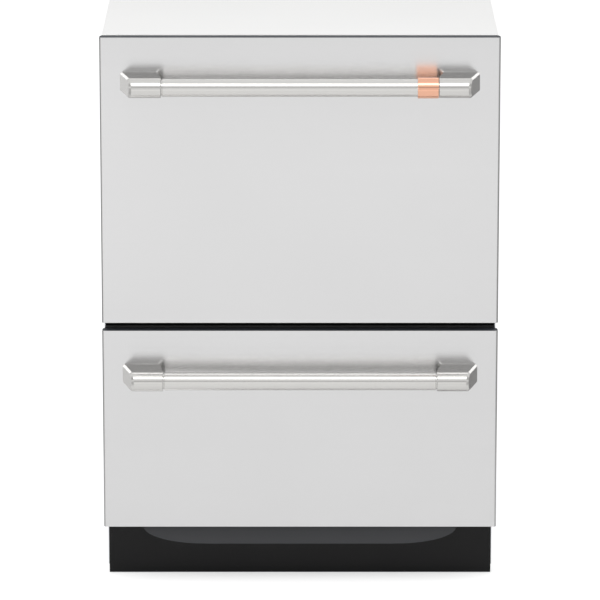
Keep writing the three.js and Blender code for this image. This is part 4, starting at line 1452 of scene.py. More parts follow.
@dataclass
class Tub:
    """A drawer's tub: bowl, rim, aprons for the runners, the skirt under it and the dispenser."""

    level: Level
    rim_half: float = 262.2
    taper: float = 23.0
    wall: float = 2.5
    flange: float = 8.0
    front: float = -185.5
    back: float = span("upper_tub", Axis.Y)[1] - flange
    corner: float = 36.0
    fillet: float = 18.0
    apron_x: float = span("upper_tub", Axis.X)[1]
    apron_drop: float = 62.0
    skirt_front: float = span("upper_tub", Axis.Y)[0]
    belly_corner: Pair = (95.0, 27.0)
    belly_lip: float = 6.5
    spindle_hole: float = 6.6
    dispenser_half: float = 65.0
    dispenser_drop: float = 36.0
    dispenser_height: float = 64.0
    dispenser_y: Pair = (-184.0, -165.0)
    slot_y: Pair = (-181.0, -167.0)
    cup_y: Pair = (-179.5, -168.5)
    cup_x: Pair = (-60.0, -6.0)
    slot: float = 3.0
    slot_roof: float = 2.0
    cover_length: float = length("upper_dispenser_door", Axis.X)
    filter_rings: int = 12

    def half(self, z: float) -> float:
        """Half the bowl's outer width at a height."""
        belly_top = self.level.underside + self.belly_corner[1]
        return self.rim_half - self.taper * (self.level.rim - z) / (self.level.rim - belly_top)

    def bowl(self) -> Form:
        """The bowl with its round corners, open at the top.

        Returns:
            The bowl.
        """
        under, rim = self.level.floor - self.wall, self.level.rim
        form = block((-self.rim_half, self.rim_half), (self.front, self.back), (under, rim))
        form.stretch((self.half(under) / self.rim_half, 1, 1), pick=lambda v: v.co.z < under + 1)
        form.drop(facing(Axis.Z, 1))
        form.round(self.corner, 12, self._upright)
        form.round(self.fillet + self.wall, 7, self._at_floor)
        form.thicken(self.wall)
        form.carve(rod(self.spindle_hole, Axis.Z, (0, ARM_Y, under - 5), 12, 24, 0.0))
        return form

    def _upright(self, edge: Edge) -> bool:
        """Whether an edge runs up a corner of the bowl."""
        return edge.is_manifold and abs(edge.verts[0].co.z - edge.verts[1].co.z) > 100

    def _at_floor(self, edge: Edge) -> bool:
        """Whether an edge goes round the bowl's floor."""
        under = self.level.floor - self.wall
        return edge.is_manifold and all(abs(v.co.z - under) < 0.1 for v in edge.verts)

    def rim(self) -> Form:
        """The flat rim round the bowl, with a groove for the lid's seal.

        Returns:
            The rim.
        """
        border = self.flange + self.wall
        y = (self.front - self.flange, self.back + self.flange)
        form = rounded(self.apron_x, y, self.level.rim, self.corner, 12)
        form.inset(lambda f: True, border, 0.0)
        inner = (self.rim_half - self.wall) / (self.apron_x - border)
        reach = self.apron_x - border + 0.1
        form.stretch((inner, 1, 1), pick=lambda v: self._inside_loop(v.co, reach, y, border))
        form.drop(lambda f: len(f.verts) > 8)
        form.inset(lambda f: True, 3.0, -0.7).thicken(self.wall - 0.7)
        return form

    def _inside_loop(self, co: Vector, reach: float, y: Pair, border: float) -> bool:
        """Whether a vertex is on the rim's inner loop."""
        return abs(co.x) < reach and y[0] + border - 0.1 < co.y < y[1] - border + 0.1

    def apron(self) -> Form:
        """The right apron, which carries the runner, with gussets to the rim.

        Returns:
            The apron.
        """
        x, rim = self.apron_x, self.level.rim
        low = rim - self.apron_drop
        y = (self.front + self.corner, self.back - self.corner)
        form = block((x - self.wall, x), y, (low, rim - 1.0), 0.6)
        top, knee, foot = rim - 1.5, rim - 14, rim - 42
        inner = (self.half(rim - 3) - 1, top)
        points = [(x - 1, top), inner, (self.half(foot) - 0.5, knee), (x - 1, foot)]
        for at in spread(7, *y):
            form.take(prism(points, Axis.Y, about(at, 1.2), 0.3))
        return form

    def ribs(self) -> list[Form]:
        """Stiffening ribs outside the bowl, on its sides, its front and its back.

        Returns:
            The ribs.
        """
        made = []
        low, high = self.level.floor + 4, self.level.rim - self.apron_drop - 2
        for at in spread(6, self.front + self.corner, self.back - self.corner):
            points = [(self.half(z) + out, z) for z, out in ((low, -1), (low, 3), (high, 3), (high, -1))]
            right = prism(points, Axis.Y, about(at, 1.5), 0.5)
            made += [right, right.twin()]
        for at in spread(7, -200, 200):
            x = about(at, 1.5)
            made.append(block(x, (self.back - 1, self.back + 4), (low, self.level.rim - 6), 0.5))
            made.append(block(x, (self.front - 4, self.front + 1), (low, self.level.rim - 46), 0.5))
        band = (self.level.floor + self.level.rim) / 2 - 30
        for z in (band, band + 30):
            half = self.half(z) - self.corner
            made.append(block((-half, half), (self.back - 1, self.back + 3), about(z, 1.5), 0.5))
        return made

    def skirt(self) -> Form:
        """The open skirt under the bowl, with its wide elliptical corners and its hatch.

        Returns:
            The skirt.
        """
        width, height = self.belly_corner
        squash = height / width
        bottom, top = self.level.underside, self.level.floor - 0.6
        half = self.rim_half - self.taper
        form = block((-half * squash, half * squash), (self.skirt_front, self.back), (bottom, top))
        form.round(height, 14, along(Axis.Y, {Axis.Z: bottom}))
        form.stretch((1 / squash, 1, 1))
        form.inset(lambda f: f.normal.z < -0.999 and f.calc_area() > 50000, self.belly_lip, 0.0)
        form.drop(self._hatch)
        form.round(3.5, 4, self._skirt_end)
        form.thicken(self.wall)
        form.carve(rod(self.spindle_hole, Axis.Z, (0, ARM_Y, top - 5), 12, 24, 0.0))
        return form

    def _hatch(self, face: Face) -> bool:
        """Whether a face of the skirt is its hatch, in the middle of the underside."""
        half_way = (self.skirt_front + self.back) / 2
        return face.normal.z < -0.999 and abs(face.calc_center_median().y - half_way) < 1

    def _skirt_end(self, edge: Edge) -> bool:
        """Whether an edge goes round the skirt's front or back."""
        bent, ends = edge.is_manifold and edge.calc_face_angle(0.0) >= 0.5, (self.skirt_front, self.back)
        return bent and any(all(abs(v.co.y - y) < 0.1 for v in edge.verts) for y in ends)

    def dispenser(self) -> Form:
        """The detergent dispenser on the front wall: a cup under a slot for its sliding cover.

        Returns:
            The dispenser.
        """
        half = self.dispenser_half
        top = self.level.rim - self.dispenser_drop
        bottom = top - self.dispenser_height
        track = top - self.slot_roof - self.slot
        form = block((-half, half), self.dispenser_y, (bottom, top))
        form.round(5.0, 5, lambda e: all(v.co.y > -166 and v.co.z < bottom + 1 for v in e.verts))
        form.round(3.0, 4, along(Axis.Z, {Axis.Y: self.dispenser_y[1]}))
        slot = block((-half + 2, half + 5), self.slot_y, (track, track + self.slot))
        mouth = block((-half + 2, half + 5), self.cup_y, (track + 0.5, top + 3))
        cup = block(self.cup_x, self.cup_y, (bottom + 3, track + 1)).round(4.0, 4, along(Axis.Z))
        form.carve(slot, mouth, cup)
        x, z, face = half - 24, bottom + 26, self.dispenser_y[1]
        dish = [(0, 2.4), (4, 2.4), (4.6, 1.6), (8.6, 1.6)]
        knob = [*dish, (9.6, 3.0), (11.4, 3.0), (12, 2.2), (12, -1), (0, -1)]
        form.take(turned(knob, 32, Axis.Y, (x, face, z)))
        form.take(block(about(x, 7), (face + 1.2, face + 3.4), about(z, 0.9), 0.4))
        for at in (-50, -33, -16):
            form.take(block(about(at, 5), (face - 0.5, face + 0.7), (bottom + 18, bottom + 19.2), 0.3))
        return form

    def filter(self) -> Form:
        """The ridged filter plate round the spindle.

        Returns:
            The plate.
        """
        floor = self.level.floor
        crest, valley = floor + 3.8, floor + 2.2
        profile: list[Pair] = [(11.0, floor + 0.1), (11.0, floor + 3.2), (13.0, crest)]
        for ring in range(self.filter_rings):
            r = 16.0 + ring * 6.0
            profile += [(r, crest), (r + 0.8, valley), (r + 2.6, valley), (r + 3.4, crest)]
        profile += [(92.0, floor + 3.6), (95.0, floor + 1.4), (96.0, floor + 0.1)]
        form = turned(profile, 56, centre=(0, ARM_Y, 0), ring=True)
        for turn in range(12):
            spoke = block((20, 88), (-1.3, 1.3), (floor + 2.0, floor + 4.2), 0.4).turn(turn * 30 + 15, Axis.Z)
            form.take(spoke.move((0, ARM_Y, 0)))
        return form

    def cover(self) -> Form:
        """The dispenser's sliding cover with its grip.

        Returns:
            The cover.
        """
        top = self.level.rim - self.dispenser_drop
        low = top - self.slot_roof - self.slot + 0.3
        left = -self.dispenser_half + 2.3
        y = (self.slot_y[0] + 0.3, self.slot_y[1] - 0.3)
        form = block((left, left + self.cover_length), y, (low, low + 2.4), 0.4)
        front, back = self.cup_y
        grip = block((left + 28, left + 32), (front + 0.3, back - 0.3), (low + 1, top + 4))
        form.take(grip.round(1.2, 4))
        for at in (8, 13, 18, 42, 47, 52):
            x = (left + at, left + at + 1.4)
            form.take(block(x, (front + 1, back - 1), (low + 2, low + 3.4), 0.3))
        return form

    def build(self) -> None:
        """Places every piece of the tub."""
        name, body = self.level.name, self.level.body
        form = self.bowl()
        right = self.apron()
        left = right.twin()
        form.take(self.rim(), right, left, *self.ribs(), self.skirt(), self.dispenser())
        place(form, f"{name}_tub_moulding", body, TUB, [f"{name}_tub"])
        place(self.filter(), f"{name}_filter_plate", body, ARM)
        place(self.cover(), f"{name}_dispenser_cover", f"{name}_cover", ARM, [f"{name}_dispenser_door"])


@dataclass
class Washer:
    """What washes in a tub: the flat motor under its floor and the spray arm on its spindle."""

    level: Level
    motor: float = length("upper_wash_motor", Axis.X) / 2
    spindle: float = 6.0
    lift: float = 6.0
    hub: float = 22.0
    hub_height: float = length("upper_spray_arm", Axis.Z)
    reach: float = span("upper_spray_arm", Axis.X)[1]
    root: float = length("upper_spray_arm", Axis.Y) / 2
    tip: float = 17.0
    blade: float = 9.0
    nozzles: tuple[float, ...] = (48, 76, 104, 132, 160, 184)

    def motor_form(self) -> Form:
        """The motor with its ribs, its plug and its spindle.

        Returns:
            The motor.
        """
        floor, r, s = self.level.floor, self.motor, self.spindle
        low, top = floor - 44.8, floor - 2.8
        cap = [(0, 3), (20, 3), (22, 0), (30, 0), (32, 3), (58, 3), (60, 0), (r - 8, 0), (r - 3, 3), (r, 8)]
        belt = [(r, 16), (r - 2.5, 18), (r - 2.5, 26), (r, 28)]
        lid = [(r, top - 1.5), (r - 1.5, top), (s, top)]
        nut = [(s, 0.3), (10, 0.3), (10, 4.9), (9.2, 5.7), (s, 5.7)]
        tip = [(s, 26), (s - 2, 28), (0, 28)]
        under = [(radius, low + h) for radius, h in (*cap, *belt)]
        profile = [*under, *lid, *[(radius, floor + h) for radius, h in (*nut, *tip)]]
        form = turned(profile, 56, centre=(0, ARM_Y, 0))
        for turn in range(12):
            rib = block((31, 59), (-1.5, 1.5), (low, low + 4), 0.5).turn(turn * 30, Axis.Z)
            form.take(rib.move((0, ARM_Y, 0)))
        plug = block((r - 4, r + 11), (-14, 14), (low + 9, low + 24), 1.2)
        pins = block((r + 9, r + 15), (-10, 10), (low + 12, low + 21), 0.8)
        return form.take(plug.move((0, ARM_Y, 0)), pins.move((0, ARM_Y, 0)))

    def arm_form(self) -> Form:
        """The spray arm: tapered blades with nozzles, on a hub.

        Returns:
            The arm.
        """
        low = self.level.floor + self.lift
        middle = low + self.hub_height / 2
        z = (middle - self.blade / 2, middle + self.blade / 2)
        reach, root, tip = self.reach, self.root, self.tip
        points = [(-reach, -tip), (0, -root), (reach, -tip), (reach, tip), (0, root), (-reach, tip)]
        form = prism(points, Axis.Z, z)
        form.round(tip - 0.1, 9, lambda e: along(Axis.Z)(e) and abs(e.verts[0].co.x) > reach - 1)
        form.round(3.0, 4, lambda e: e.calc_face_angle(0.0) > 1.2)
        form.inset(facing(Axis.Z, 1, z[1] - 0.1), 4.0, 0.0)
        form.inset(lambda f: f.normal.z > 0.99 and f.calc_area() > 4000, 1.0, -0.8)
        form.carve(rod(self.hub - 6, Axis.Z, (0, 0, z[0] - 2), self.blade + 4, 24, 0.0))
        for i, at in enumerate(self.nozzles):
            for side in (-1, 1):
                form.take(self._nozzle((side * at, side * (6 - 12 * (i % 2)), z[1] - 0.9)))
        bore, top, r = self.spindle + 0.35, low + self.hub_height, self.hub
        shoulder = [(r, top - 5), (r - 3, top - 2), (14, top - 1.2), (12, top)]
        profile = [(bore, low), (r - 2, low), (r, low + 2), *shoulder, (bore, top)]
        form.take(turned(profile, 40, ring=True))
        return form.move((0, ARM_Y, 0))

    def _nozzle(self, at: Triple) -> Form:
        """A raised nozzle with a slot in it."""
        ring = turned([(0, 0.6), (1.2, 0.6), (1.5, 2.0), (3.0, 1.9), (4.6, 0.8), (5.0, -0.2)], 14)
        return ring.move(at)

    def build(self) -> None:
        """Places the motor and the arm."""
        name = self.level.name
        place(self.motor_form(), f"{name}_flat_motor", self.level.body, BLACK, [f"{name}_wash_motor"])
        place(self.arm_form(), f"{name}_spray_blades", f"{name}_arm", ARM, [f"{name}_spray_arm"])


@dataclass
class Rack:
    """A drawer's dish rack, of coated round wires."""

    level: Level
    wire: float = 2.0
    rim_wire: float = 3.0
    tine: float = 1.5
    tine_height: float = 70.0
    long_wires: int = 7
    cross_wires: int = 6
    tines: int = 6
    leg_inset: float = 26.0

    @property
    def half(self) -> float:
        """Half the width between the middles of the rim's wires."""
        return span(f"{self.level.name}_rack", Axis.X)[1] - self.rim_wire

    @property
    def y(self) -> Pair:
        """Where the middles of the rim's wires are on Y."""
        front, back = span(f"{self.level.name}_rack", Axis.Y)
        return front + self.rim_wire, back - self.rim_wire

    def loop(self, z: float, radius: float, out: float = 0.0) -> Form:
        """A wire all round the basket.

        Args:
            z: its height.
            radius: the wire's radius.
            out: how far outside the rim it runs.

        Returns:
            The wire.
        """
        h, (y0, y1) = self.half + out, self.y
        path = [(-h, y1 + out, z), (-h, y0 - out, z), (h, y0 - out, z), (h, y1 + out, z)]
        return wire(path, radius, 14.0, 12, 6, closed=True)

    def build(self) -> None:
        """Bends the wires and places the rack."""
        low, high = self.level.floor + 36.0, self.level.rim - 29.0
        h, (y0, y1) = self.half, self.y
        form = self.loop(high, self.rim_wire)
        form.take(self.loop((low + high) / 2 + 20, 1.6, 2.2))
        columns = spread(self.long_wires, -h, h)
        for x in columns:
            form.take(wire([(x, y0, high), (x, y0, low), (x, y1, low), (x, y1, high)], self.wire, 9.0, 10))
        for y in spread(self.cross_wires, y0, y1):
            up = low + self.wire
            form.take(wire([(-h, y, high), (-h, y, up), (h, y, up), (h, y, high)], self.wire, 9.0, 10))
        rows = spread(self.tines, y0 + self.leg_inset, y1 - self.leg_inset)
        r, top = self.tine, low + self.tine_height
        tine = [(0, low), (r, low), (r, top - r), (r * 0.7, top - r * 0.3), (0, top)]
        for x in columns[1:5:2]:
            for y in rows:
                form.take(turned(tine, 8, centre=(x, y, 0)))
        foot = self.level.floor + SEAT + self.wire
        for x in (columns[0], columns[-1]):
            for y in (y0 + self.leg_inset, y1 - self.leg_inset):
                path = [(x, y - 7, low), (x, y - 7, foot), (x, y + 7, foot), (x, y + 7, low)]
                form.take(wire(path, self.wire, 6.0, 10))
        place(form, f"{self.level.name}_dish_basket", self.level.body, RACK, [f"{self.level.name}_rack"], 60)


@dataclass
class Lid:
    """The lid that closes a tub inside the cabinet, its seal and the lift above it."""

    level: Level
    half: float = span("upper_lid", Axis.X)[1]
    y: Pair = span("upper_lid", Axis.Y)
    corner: float = 36.0
    rise: float = 12.0
    thickness: float = 10.0
    post_x: float = 150.0
    post: float = 5.0
    boss: float = 10.0
    beam_half: float = span("upper_lid_lift", Axis.X)[1]
    beam_y: Pair = span("upper_lid_lift", Axis.Y)
    beam_rise: float = 25.3
    beam_height: float = 10.0
    motor_half: float = 45.0

    def panel(self) -> Form:
        """The lid with a ribbed recess and a socket for each post.

        Returns:
            The lid.
        """
        low = self.level.rim + self.rise
        top = low + self.thickness
        form = plate((-self.half, self.half), self.y, (low, top), self.corner, 1.6, 12)
        form.inset(facing(Axis.Z, 1, top - 0.1), 14.0, 0.0)
        form.inset(lambda f: f.normal.z > 0.99 and f.calc_area() > 100000, 3.0, -2.4)
        hole = self.post + SEAT
        sockets = [rod(hole, Axis.Z, (x, ARM_Y, low + 2), 20, 24, 0.0) for x in (-self.post_x, self.post_x)]
        form.carve(*sockets)
        r, brim = self.boss, top + 3
        flank = [(r + 1.5, top - 4), (r, top - 1), (r, brim - 0.6), (r - 0.6, brim)]
        profile = [(hole, top - 4), *flank, (hole + 0.6, brim), (hole, brim - 0.6)]
        for x in (-self.post_x, self.post_x):
            form.take(turned(profile, 32, centre=(x, ARM_Y, 0), ring=True))
        for x in (-215, -95, 0, 95, 215):
            form.take(block(about(x, 1.5), (self.y[0] + 17, self.y[1] - 17), (top - 3, top - 0.4), 0.4))
        for y in (-110, 174):
            form.take(block((-self.half + 17, self.half - 17), about(y, 1.5), (top - 3, top - 0.4), 0.4))
        return form

    def seal(self) -> Form:
        """The round-edged seal under the lid."""
        top = self.level.rim + self.rise - SEAT
        return loop_plate(self.half, self.y, top, self.corner, 8.0, 5.4).round(1.9, 4, turns_sharply)

    def lift(self) -> Form:
        """The beam between the cabinet's sides with its motor and posts.

        Returns:
            The lift.
        """
        low = self.level.rim + self.beam_rise
        high, y = low + self.beam_height, self.beam_y
        form = block((-self.beam_half, self.beam_half), y, (low, high), 1.2)
        form.inset(lambda f: f.normal.y < -0.99 and f.calc_area() > 1000, 1.5, 0.0)
        form.inset(lambda f: f.normal.y < -0.99 and f.calc_area() > 1000, 1.0, -2.0)
        m = self.motor_half
        form.take(block((-m, m), y, (high - 1, high + 6), 1.4))
        for x in spread(7, -m + 8, m - 8):
            form.take(block(about(x, 1.2), (y[0], y[1] - 4), (high + 4, high + 6.6), 0.4))
        r, foot = self.post, low - 11
        post = [(0, foot), (r - 0.8, foot), (r, foot + 0.8), (r, low + 1), (0, low + 1)]
        nut = [(0, high + 1.6), (5, high + 1.6), (6, high + 0.8), (6, high - 1), (0, high - 1)]
        for x in (-self.post_x, self.post_x):
            form.take(turned(post, 24, centre=(x, ARM_Y, 0)))
            form.take(turned(nut, 6, centre=(x, ARM_Y, 0)))
        for side in (-1, 1):
            x = side * (self.beam_half - 9)
            form.take(block(about(x, 8), y, (high - 1, high + 2.5), 0.8))
            for at in (y[0] + 6, y[1] - 6):
                form.take(screw((x, at, high + 2.5), Axis.Z, 1, 3.0))
        return form

    def build(self) -> None:
        """Places the lid, the seal and the lift."""
        name = self.level.name
        body = f"{name}_lid_body"
        place(self.panel(), f"{name}_lid_panel", body, LID, [f"{name}_lid"])
        place(self.seal(), f"{name}_lid_gasket", body, SEAL, [f"{name}_lid_seal"])
        place(self.lift(), f"{name}_lift_beam", "cabinet", BLACK, [f"{name}_lid_lift"])


@dataclass
class Slides:
    """A drawer's two slides, each of three rolled members."""

    level: Level
    wall: float = 1.6

    def channel(self, member: str, opens: int) -> Form:
        """A rolled channel on the right, as large as its CAD node.

        Args:
            member: which member it is.
            opens: 1 or -1, the way on X that it is open to.

        Returns:
            The channel.
        """
        x, y, z = (span(f"{self.level.name}_{member}_right", axis) for axis in Axis)
        form = block(x, y, z)
        form.drop(lambda f: f.normal.x * opens > 0.9 or abs(f.normal.y) > 0.9)
        form.round(2.2, 4, folds_sharply)
        return form.thicken(self.wall)

    def build(self) -> None:
        """Places the members on both sides."""
        name = self.level.name
        z = middle(f"{name}_rail_right", Axis.Z)
        rail, member = self.channel("rail", -1), self.channel("slide_middle", -1)
        runner = self.channel("runner", 1)
        web = span(f"{name}_runner_right", Axis.X)[0] + self.wall
        for at in spread(5, *span(f"{name}_runner_right", Axis.Y)):
            runner.take(screw((web, at, z), Axis.X, 1, 3.8))
        for at in spread(3, *span(f"{name}_slide_middle_right", Axis.Y)):
            member.take(block((288.9, 290.7), about(at, 26), about(z, 4), 0.5))
        stop = span(f"{name}_rail_right", Axis.Y)[1] - 6
        rail.take(block((283, 293), (stop - 4, stop), (z - 21, z - 16), 0.6))
        bodies = ("cabinet", f"{name}_slides", self.level.body)
        for kind, form, body in zip(("rail", "slide_middle", "runner"), (rail, member, runner), bodies):
            left = form.twin()
            for side, shape in (("right", form), ("left", left)):
                node = f"{name}_{kind}_{side}"
                place(shape, f"{name}_{kind}_channel_{side}", body, SLIDE, [node])


# -------- cabinet


@dataclass
class Cabinet:
    """The sheet-metal cabinet that both drawers run in."""

    front: float = CABINET_FRONT
    top: float = span("top_panel", Axis.Z)[1]
    side_top: float = span("right_side_panel", Axis.Z)[1]
    foot_height: float = span("base_pan", Axis.Z)[0]
    wall: float = SHEET
    kick_y: float = span("toe_kick", Axis.Y)[0]
    kick_top: float = span("toe_kick", Axis.Z)[1]
    kick_arch: Pair = (99.0, 31.0)
    kick_gap: float = 4.0
    fold: float = 12.0
    shelf_top: float = span("middle_shelf", Axis.Z)[1]
    pan_height: float = length("base_pan", Axis.Z)
    field_x: float = 170.0
    foot_x: float = middle("foot_front_right", Axis.X)
    foot_y: Pair = (middle("foot_front_right", Axis.Y), middle("foot_back_right", Axis.Y))
    foot_hole: float = 5.3
    holes: tuple = (("inlet_valve", 14.0), ("drain_outlet", 12.0), ("terminal_box", 11.0))
    screw_rows: tuple[float, ...] = (60, 200, 340, 480, 620, 760, 840)
    screw_x: float = 289.0

    def side(self) -> Form:
        """The right side panel: notched for the toe space, folded at the back and stiffened.

        Returns:
            The panel.
        """
        back = BACK - self.wall - SEAT
        notch = self.kick_y + self.wall + SEAT
        form = sheet((self.front, back), (self.foot_height, self.side_top), Axis.X, HALF_CABINET)
        form.split(Axis.Y, notch).split(Axis.Z, self.kick_top)
        form.drop(lambda f: f.calc_center_median().y < notch and f.calc_center_median().z < self.kick_top)
        edges = [e for e in form.bm.edges if all(abs(v.co.y - back) < 0.1 for v in e.verts)]
        folded = bmesh.ops.extrude_edge_only(form.bm, edges=edges)["geom"]
        moved = [g for g in folded if isinstance(g, Vert)]
        bmesh.ops.translate(form.bm, vec=(-self.fold, 0, 0), verts=moved)
        form.round(1.6, 3, folds_sharply)
        fields = [((-150, 260), z) for z in ((450, 560), (590, 700), (130, 200), (220, 290))]
        press(form, Axis.X, fields, 9.0, -3.0)
        form.thicken(self.wall)
        for level in (UPPER, LOWER):
            for y in (-200, -110, 60, 250):
                form.take(screw((HALF_CABINET, y, level.rim - 40), Axis.X, 1, 3.4))
        return form

    def back_panel(self) -> Form:
        """The back panel with its fittings' holes, stiffening fields and screws.

        Returns:
            The panel.
        """
        form = sheet((-HALF_CABINET, HALF_CABINET), (self.foot_height, self.side_top), Axis.Y, BACK)
        bmesh.ops.reverse_faces(form.bm, faces=form.bm.faces)
        heights = ((470, 620), (650, 800), (150, 260), (290, 380))
        fields = [(x, z) for x in ((-250, -20), (20, 250)) for z in heights]
        press(form, Axis.Y, fields, 9.0, -3.0)
        form.thicken(self.wall)
        for fitting, radius in self.holes:
            at = (middle(fitting, Axis.X), BACK - 5, SERVICE_Z)
            form.carve(rod(radius, Axis.Y, at, 10, 32, 0.0))
        head = [(0, 0.9), (2.6, 0.9), (3.6, 0.3), (3.8, -0.4), (0, -0.4)]
        for z in self.screw_rows:
            for x in (-self.screw_x, self.screw_x):
                form.take(turned(head, 10, Axis.Y, (x, BACK, z)))
        return form

    def top_panel(self) -> Form:
        """The painted top panel, folded down along its front.

        Returns:
            The panel.
        """
        low = self.top - self.wall
        form = block((-HALF_CABINET, HALF_CABINET), (self.front, BACK), (low, self.top))
        form.round(0.6, 3, lambda e: turns_sharply(e) and e.verts[0].co.z > self.top - 0.1)
        half = INSIDE - self.fold
        fold = block((-half, half), (self.front + 0.02, self.front + self.wall), (low - self.fold, low + 0.5))
        return form.take(fold.round(1.0, 3, along(Axis.X, {Axis.Z: low - self.fold})))

    def shelf(self) -> Form:
        """The shelf between the drawers, folded down along its front and back.

        Returns:
            The shelf.
        """
        half = INSIDE - SEAT
        back = BACK - 2 * (self.wall + SEAT)
        form = block((-half, half), (self.front, back), (self.shelf_top - self.fold, self.shelf_top))
        form.drop(lambda f: f.normal.z < -0.9 or abs(f.normal.x) > 0.9)
        form.round(1.6, 4, folds_sharply)
        form.inset(lambda f: f.normal.z > 0.99, 36.0, 0.0)
        form.inset(lambda f: f.normal.z > 0.99 and f.calc_area() > 100000, 6.0, -1.4)
        return form.thicken(self.wall)

    def pan(self) -> Form:
        """The base pan, folded up on all sides, with a hole for each foot.

        Returns:
            The pan.
        """
        half = INSIDE - SEAT
        y = (self.kick_y + self.wall + SEAT, BACK - 2 * (self.wall + SEAT))
        z = (self.foot_height, self.foot_height + self.pan_height)
        form = block((-half, half), y, z)
        form.drop(lambda f: f.normal.z > 0.9)
        form.round(2.0, 4, folds_sharply)
        form.thicken(self.wall)
        for x in (-self.foot_x, self.foot_x):
            form.carve(*[rod(self.foot_hole, Axis.Z, (x, y, z[0] - 2), 8, 24, 0.0) for y in self.foot_y])
        for x in (-self.field_x, self.field_x):
            form.take(plate(about(x, 60), (-90, 220), (z[0] + 1, z[0] + 3.2), 20.0, 1.2))
        return form

    def kick(self) -> Form:
        """The glossy toe kick, cut out under the lower tub, with its ears.

        Returns:
            The kick.
        """
        half = HALF_CABINET - 1.0
        form = block((-half, half), (self.kick_y, self.kick_y + self.wall), (1.0, self.kick_top))
        across, down = self.kick_arch
        squash = down / across
        wide = (Tub.rim_half - Tub.taper + self.kick_gap) * squash
        low = LOWER.underside - self.kick_gap
        cut = block((-wide, wide), (self.kick_y - 5, self.kick_y + 5), (low, self.kick_top + 20))
        cut.round(down, 16, along(Axis.Y, {Axis.Z: low})).stretch((1 / squash, 1, 1))
        form.carve(cut)
        form.round(0.3, 2, lambda e: e.calc_face_angle(0.0) > 1.2)
        x = (INSIDE - SEAT - self.wall, INSIDE - SEAT)
        ear = block(x, (self.kick_y + 0.7, self.kick_y + 15.5), (40.3, 86.0)).round(4.0, 4, self._ear_corner)
        for z in (52, 74):
            ear.take(screw((x[0], self.kick_y + 9, z), Axis.X, -1, 2.8))
        return form.take(ear.twin(), ear)

    def _ear_corner(self, edge: Edge) -> bool:
        """Whether an edge is a back corner of an ear."""
        return along(Axis.X, {Axis.Y: self.kick_y + 15.5})(edge)

    def foot(self, x: float, y: float) -> Form:
        """A levelling foot: a ribbed pad, a hexagon nut and a threaded stud.

        Args:
            x: its place on X.
            y: its place on Y.

        Returns:
            The foot.
        """
        h = self.foot_height
        sole = [(0, 0), (20, 0), (21, 0.8), (21, 4), (20.3, 5.4), (18.5, 6)]
        pad = [*sole, (14, 6), (13, 7.2), (10, 7.8), (0, 7.8)]
        nut = [(0, 7), (9.2, 7), (10.4, 7.8), (10.4, h - 1.2), (9.2, h - SEAT), (0, h - SEAT)]
        pitch, root, crest = 1.7, 4.2, 5.0
        stud: list[Pair] = [(0, h - 1), (root, h - 1)]
        for ridge in range(20):
            z = h - 0.4 + ridge * pitch
            stud += [(root, z), (crest, z + pitch * 0.35), (crest, z + pitch * 0.5), (root, z + pitch * 0.9)]
        stud += [(3.6, h + 34), (0, h + 34)]
        form = turned(pad, 40).take(turned(nut, 6), turned(stud, 16))
        for turn in range(12):
            form.take(block((15, 20.6), (-0.9, 0.9), (4.6, 6.4), 0.3).turn(turn * 30, Axis.Z))
        return form.move((x, y, 0))

    def build(self) -> None:
        """Places every piece of the cabinet."""
        right = self.side()
        left = right.twin()
        place(right, "side_sheet_right", "cabinet", GALVANISED, ["right_side_panel"], 14)
        place(left, "side_sheet_left", "cabinet", GALVANISED, ["left_side_panel"], 14)
        place(self.back_panel(), "back_sheet", "cabinet", GALVANISED, ["back_panel"], 14)
        place(self.top_panel(), "top_sheet", "cabinet", WHITE, ["top_panel"])
        place(self.shelf(), "shelf_sheet", "cabinet", SHELF, ["middle_shelf"])
        place(self.pan(), "drip_pan", "cabinet", GALVANISED, ["base_pan"])
        place(self.kick(), "kick_board", "cabinet", KICK, ["toe_kick"])
        for side, x in (("left", -self.foot_x), ("right", self.foot_x)):
            for end, y in zip(("front", "back"), self.foot_y):
                body = f"foot_{end[0]}{side[0]}"
                place(self.foot(x, y), f"level_foot_{end}_{side}", body, BLACK, [f"foot_{end}_{side}"])


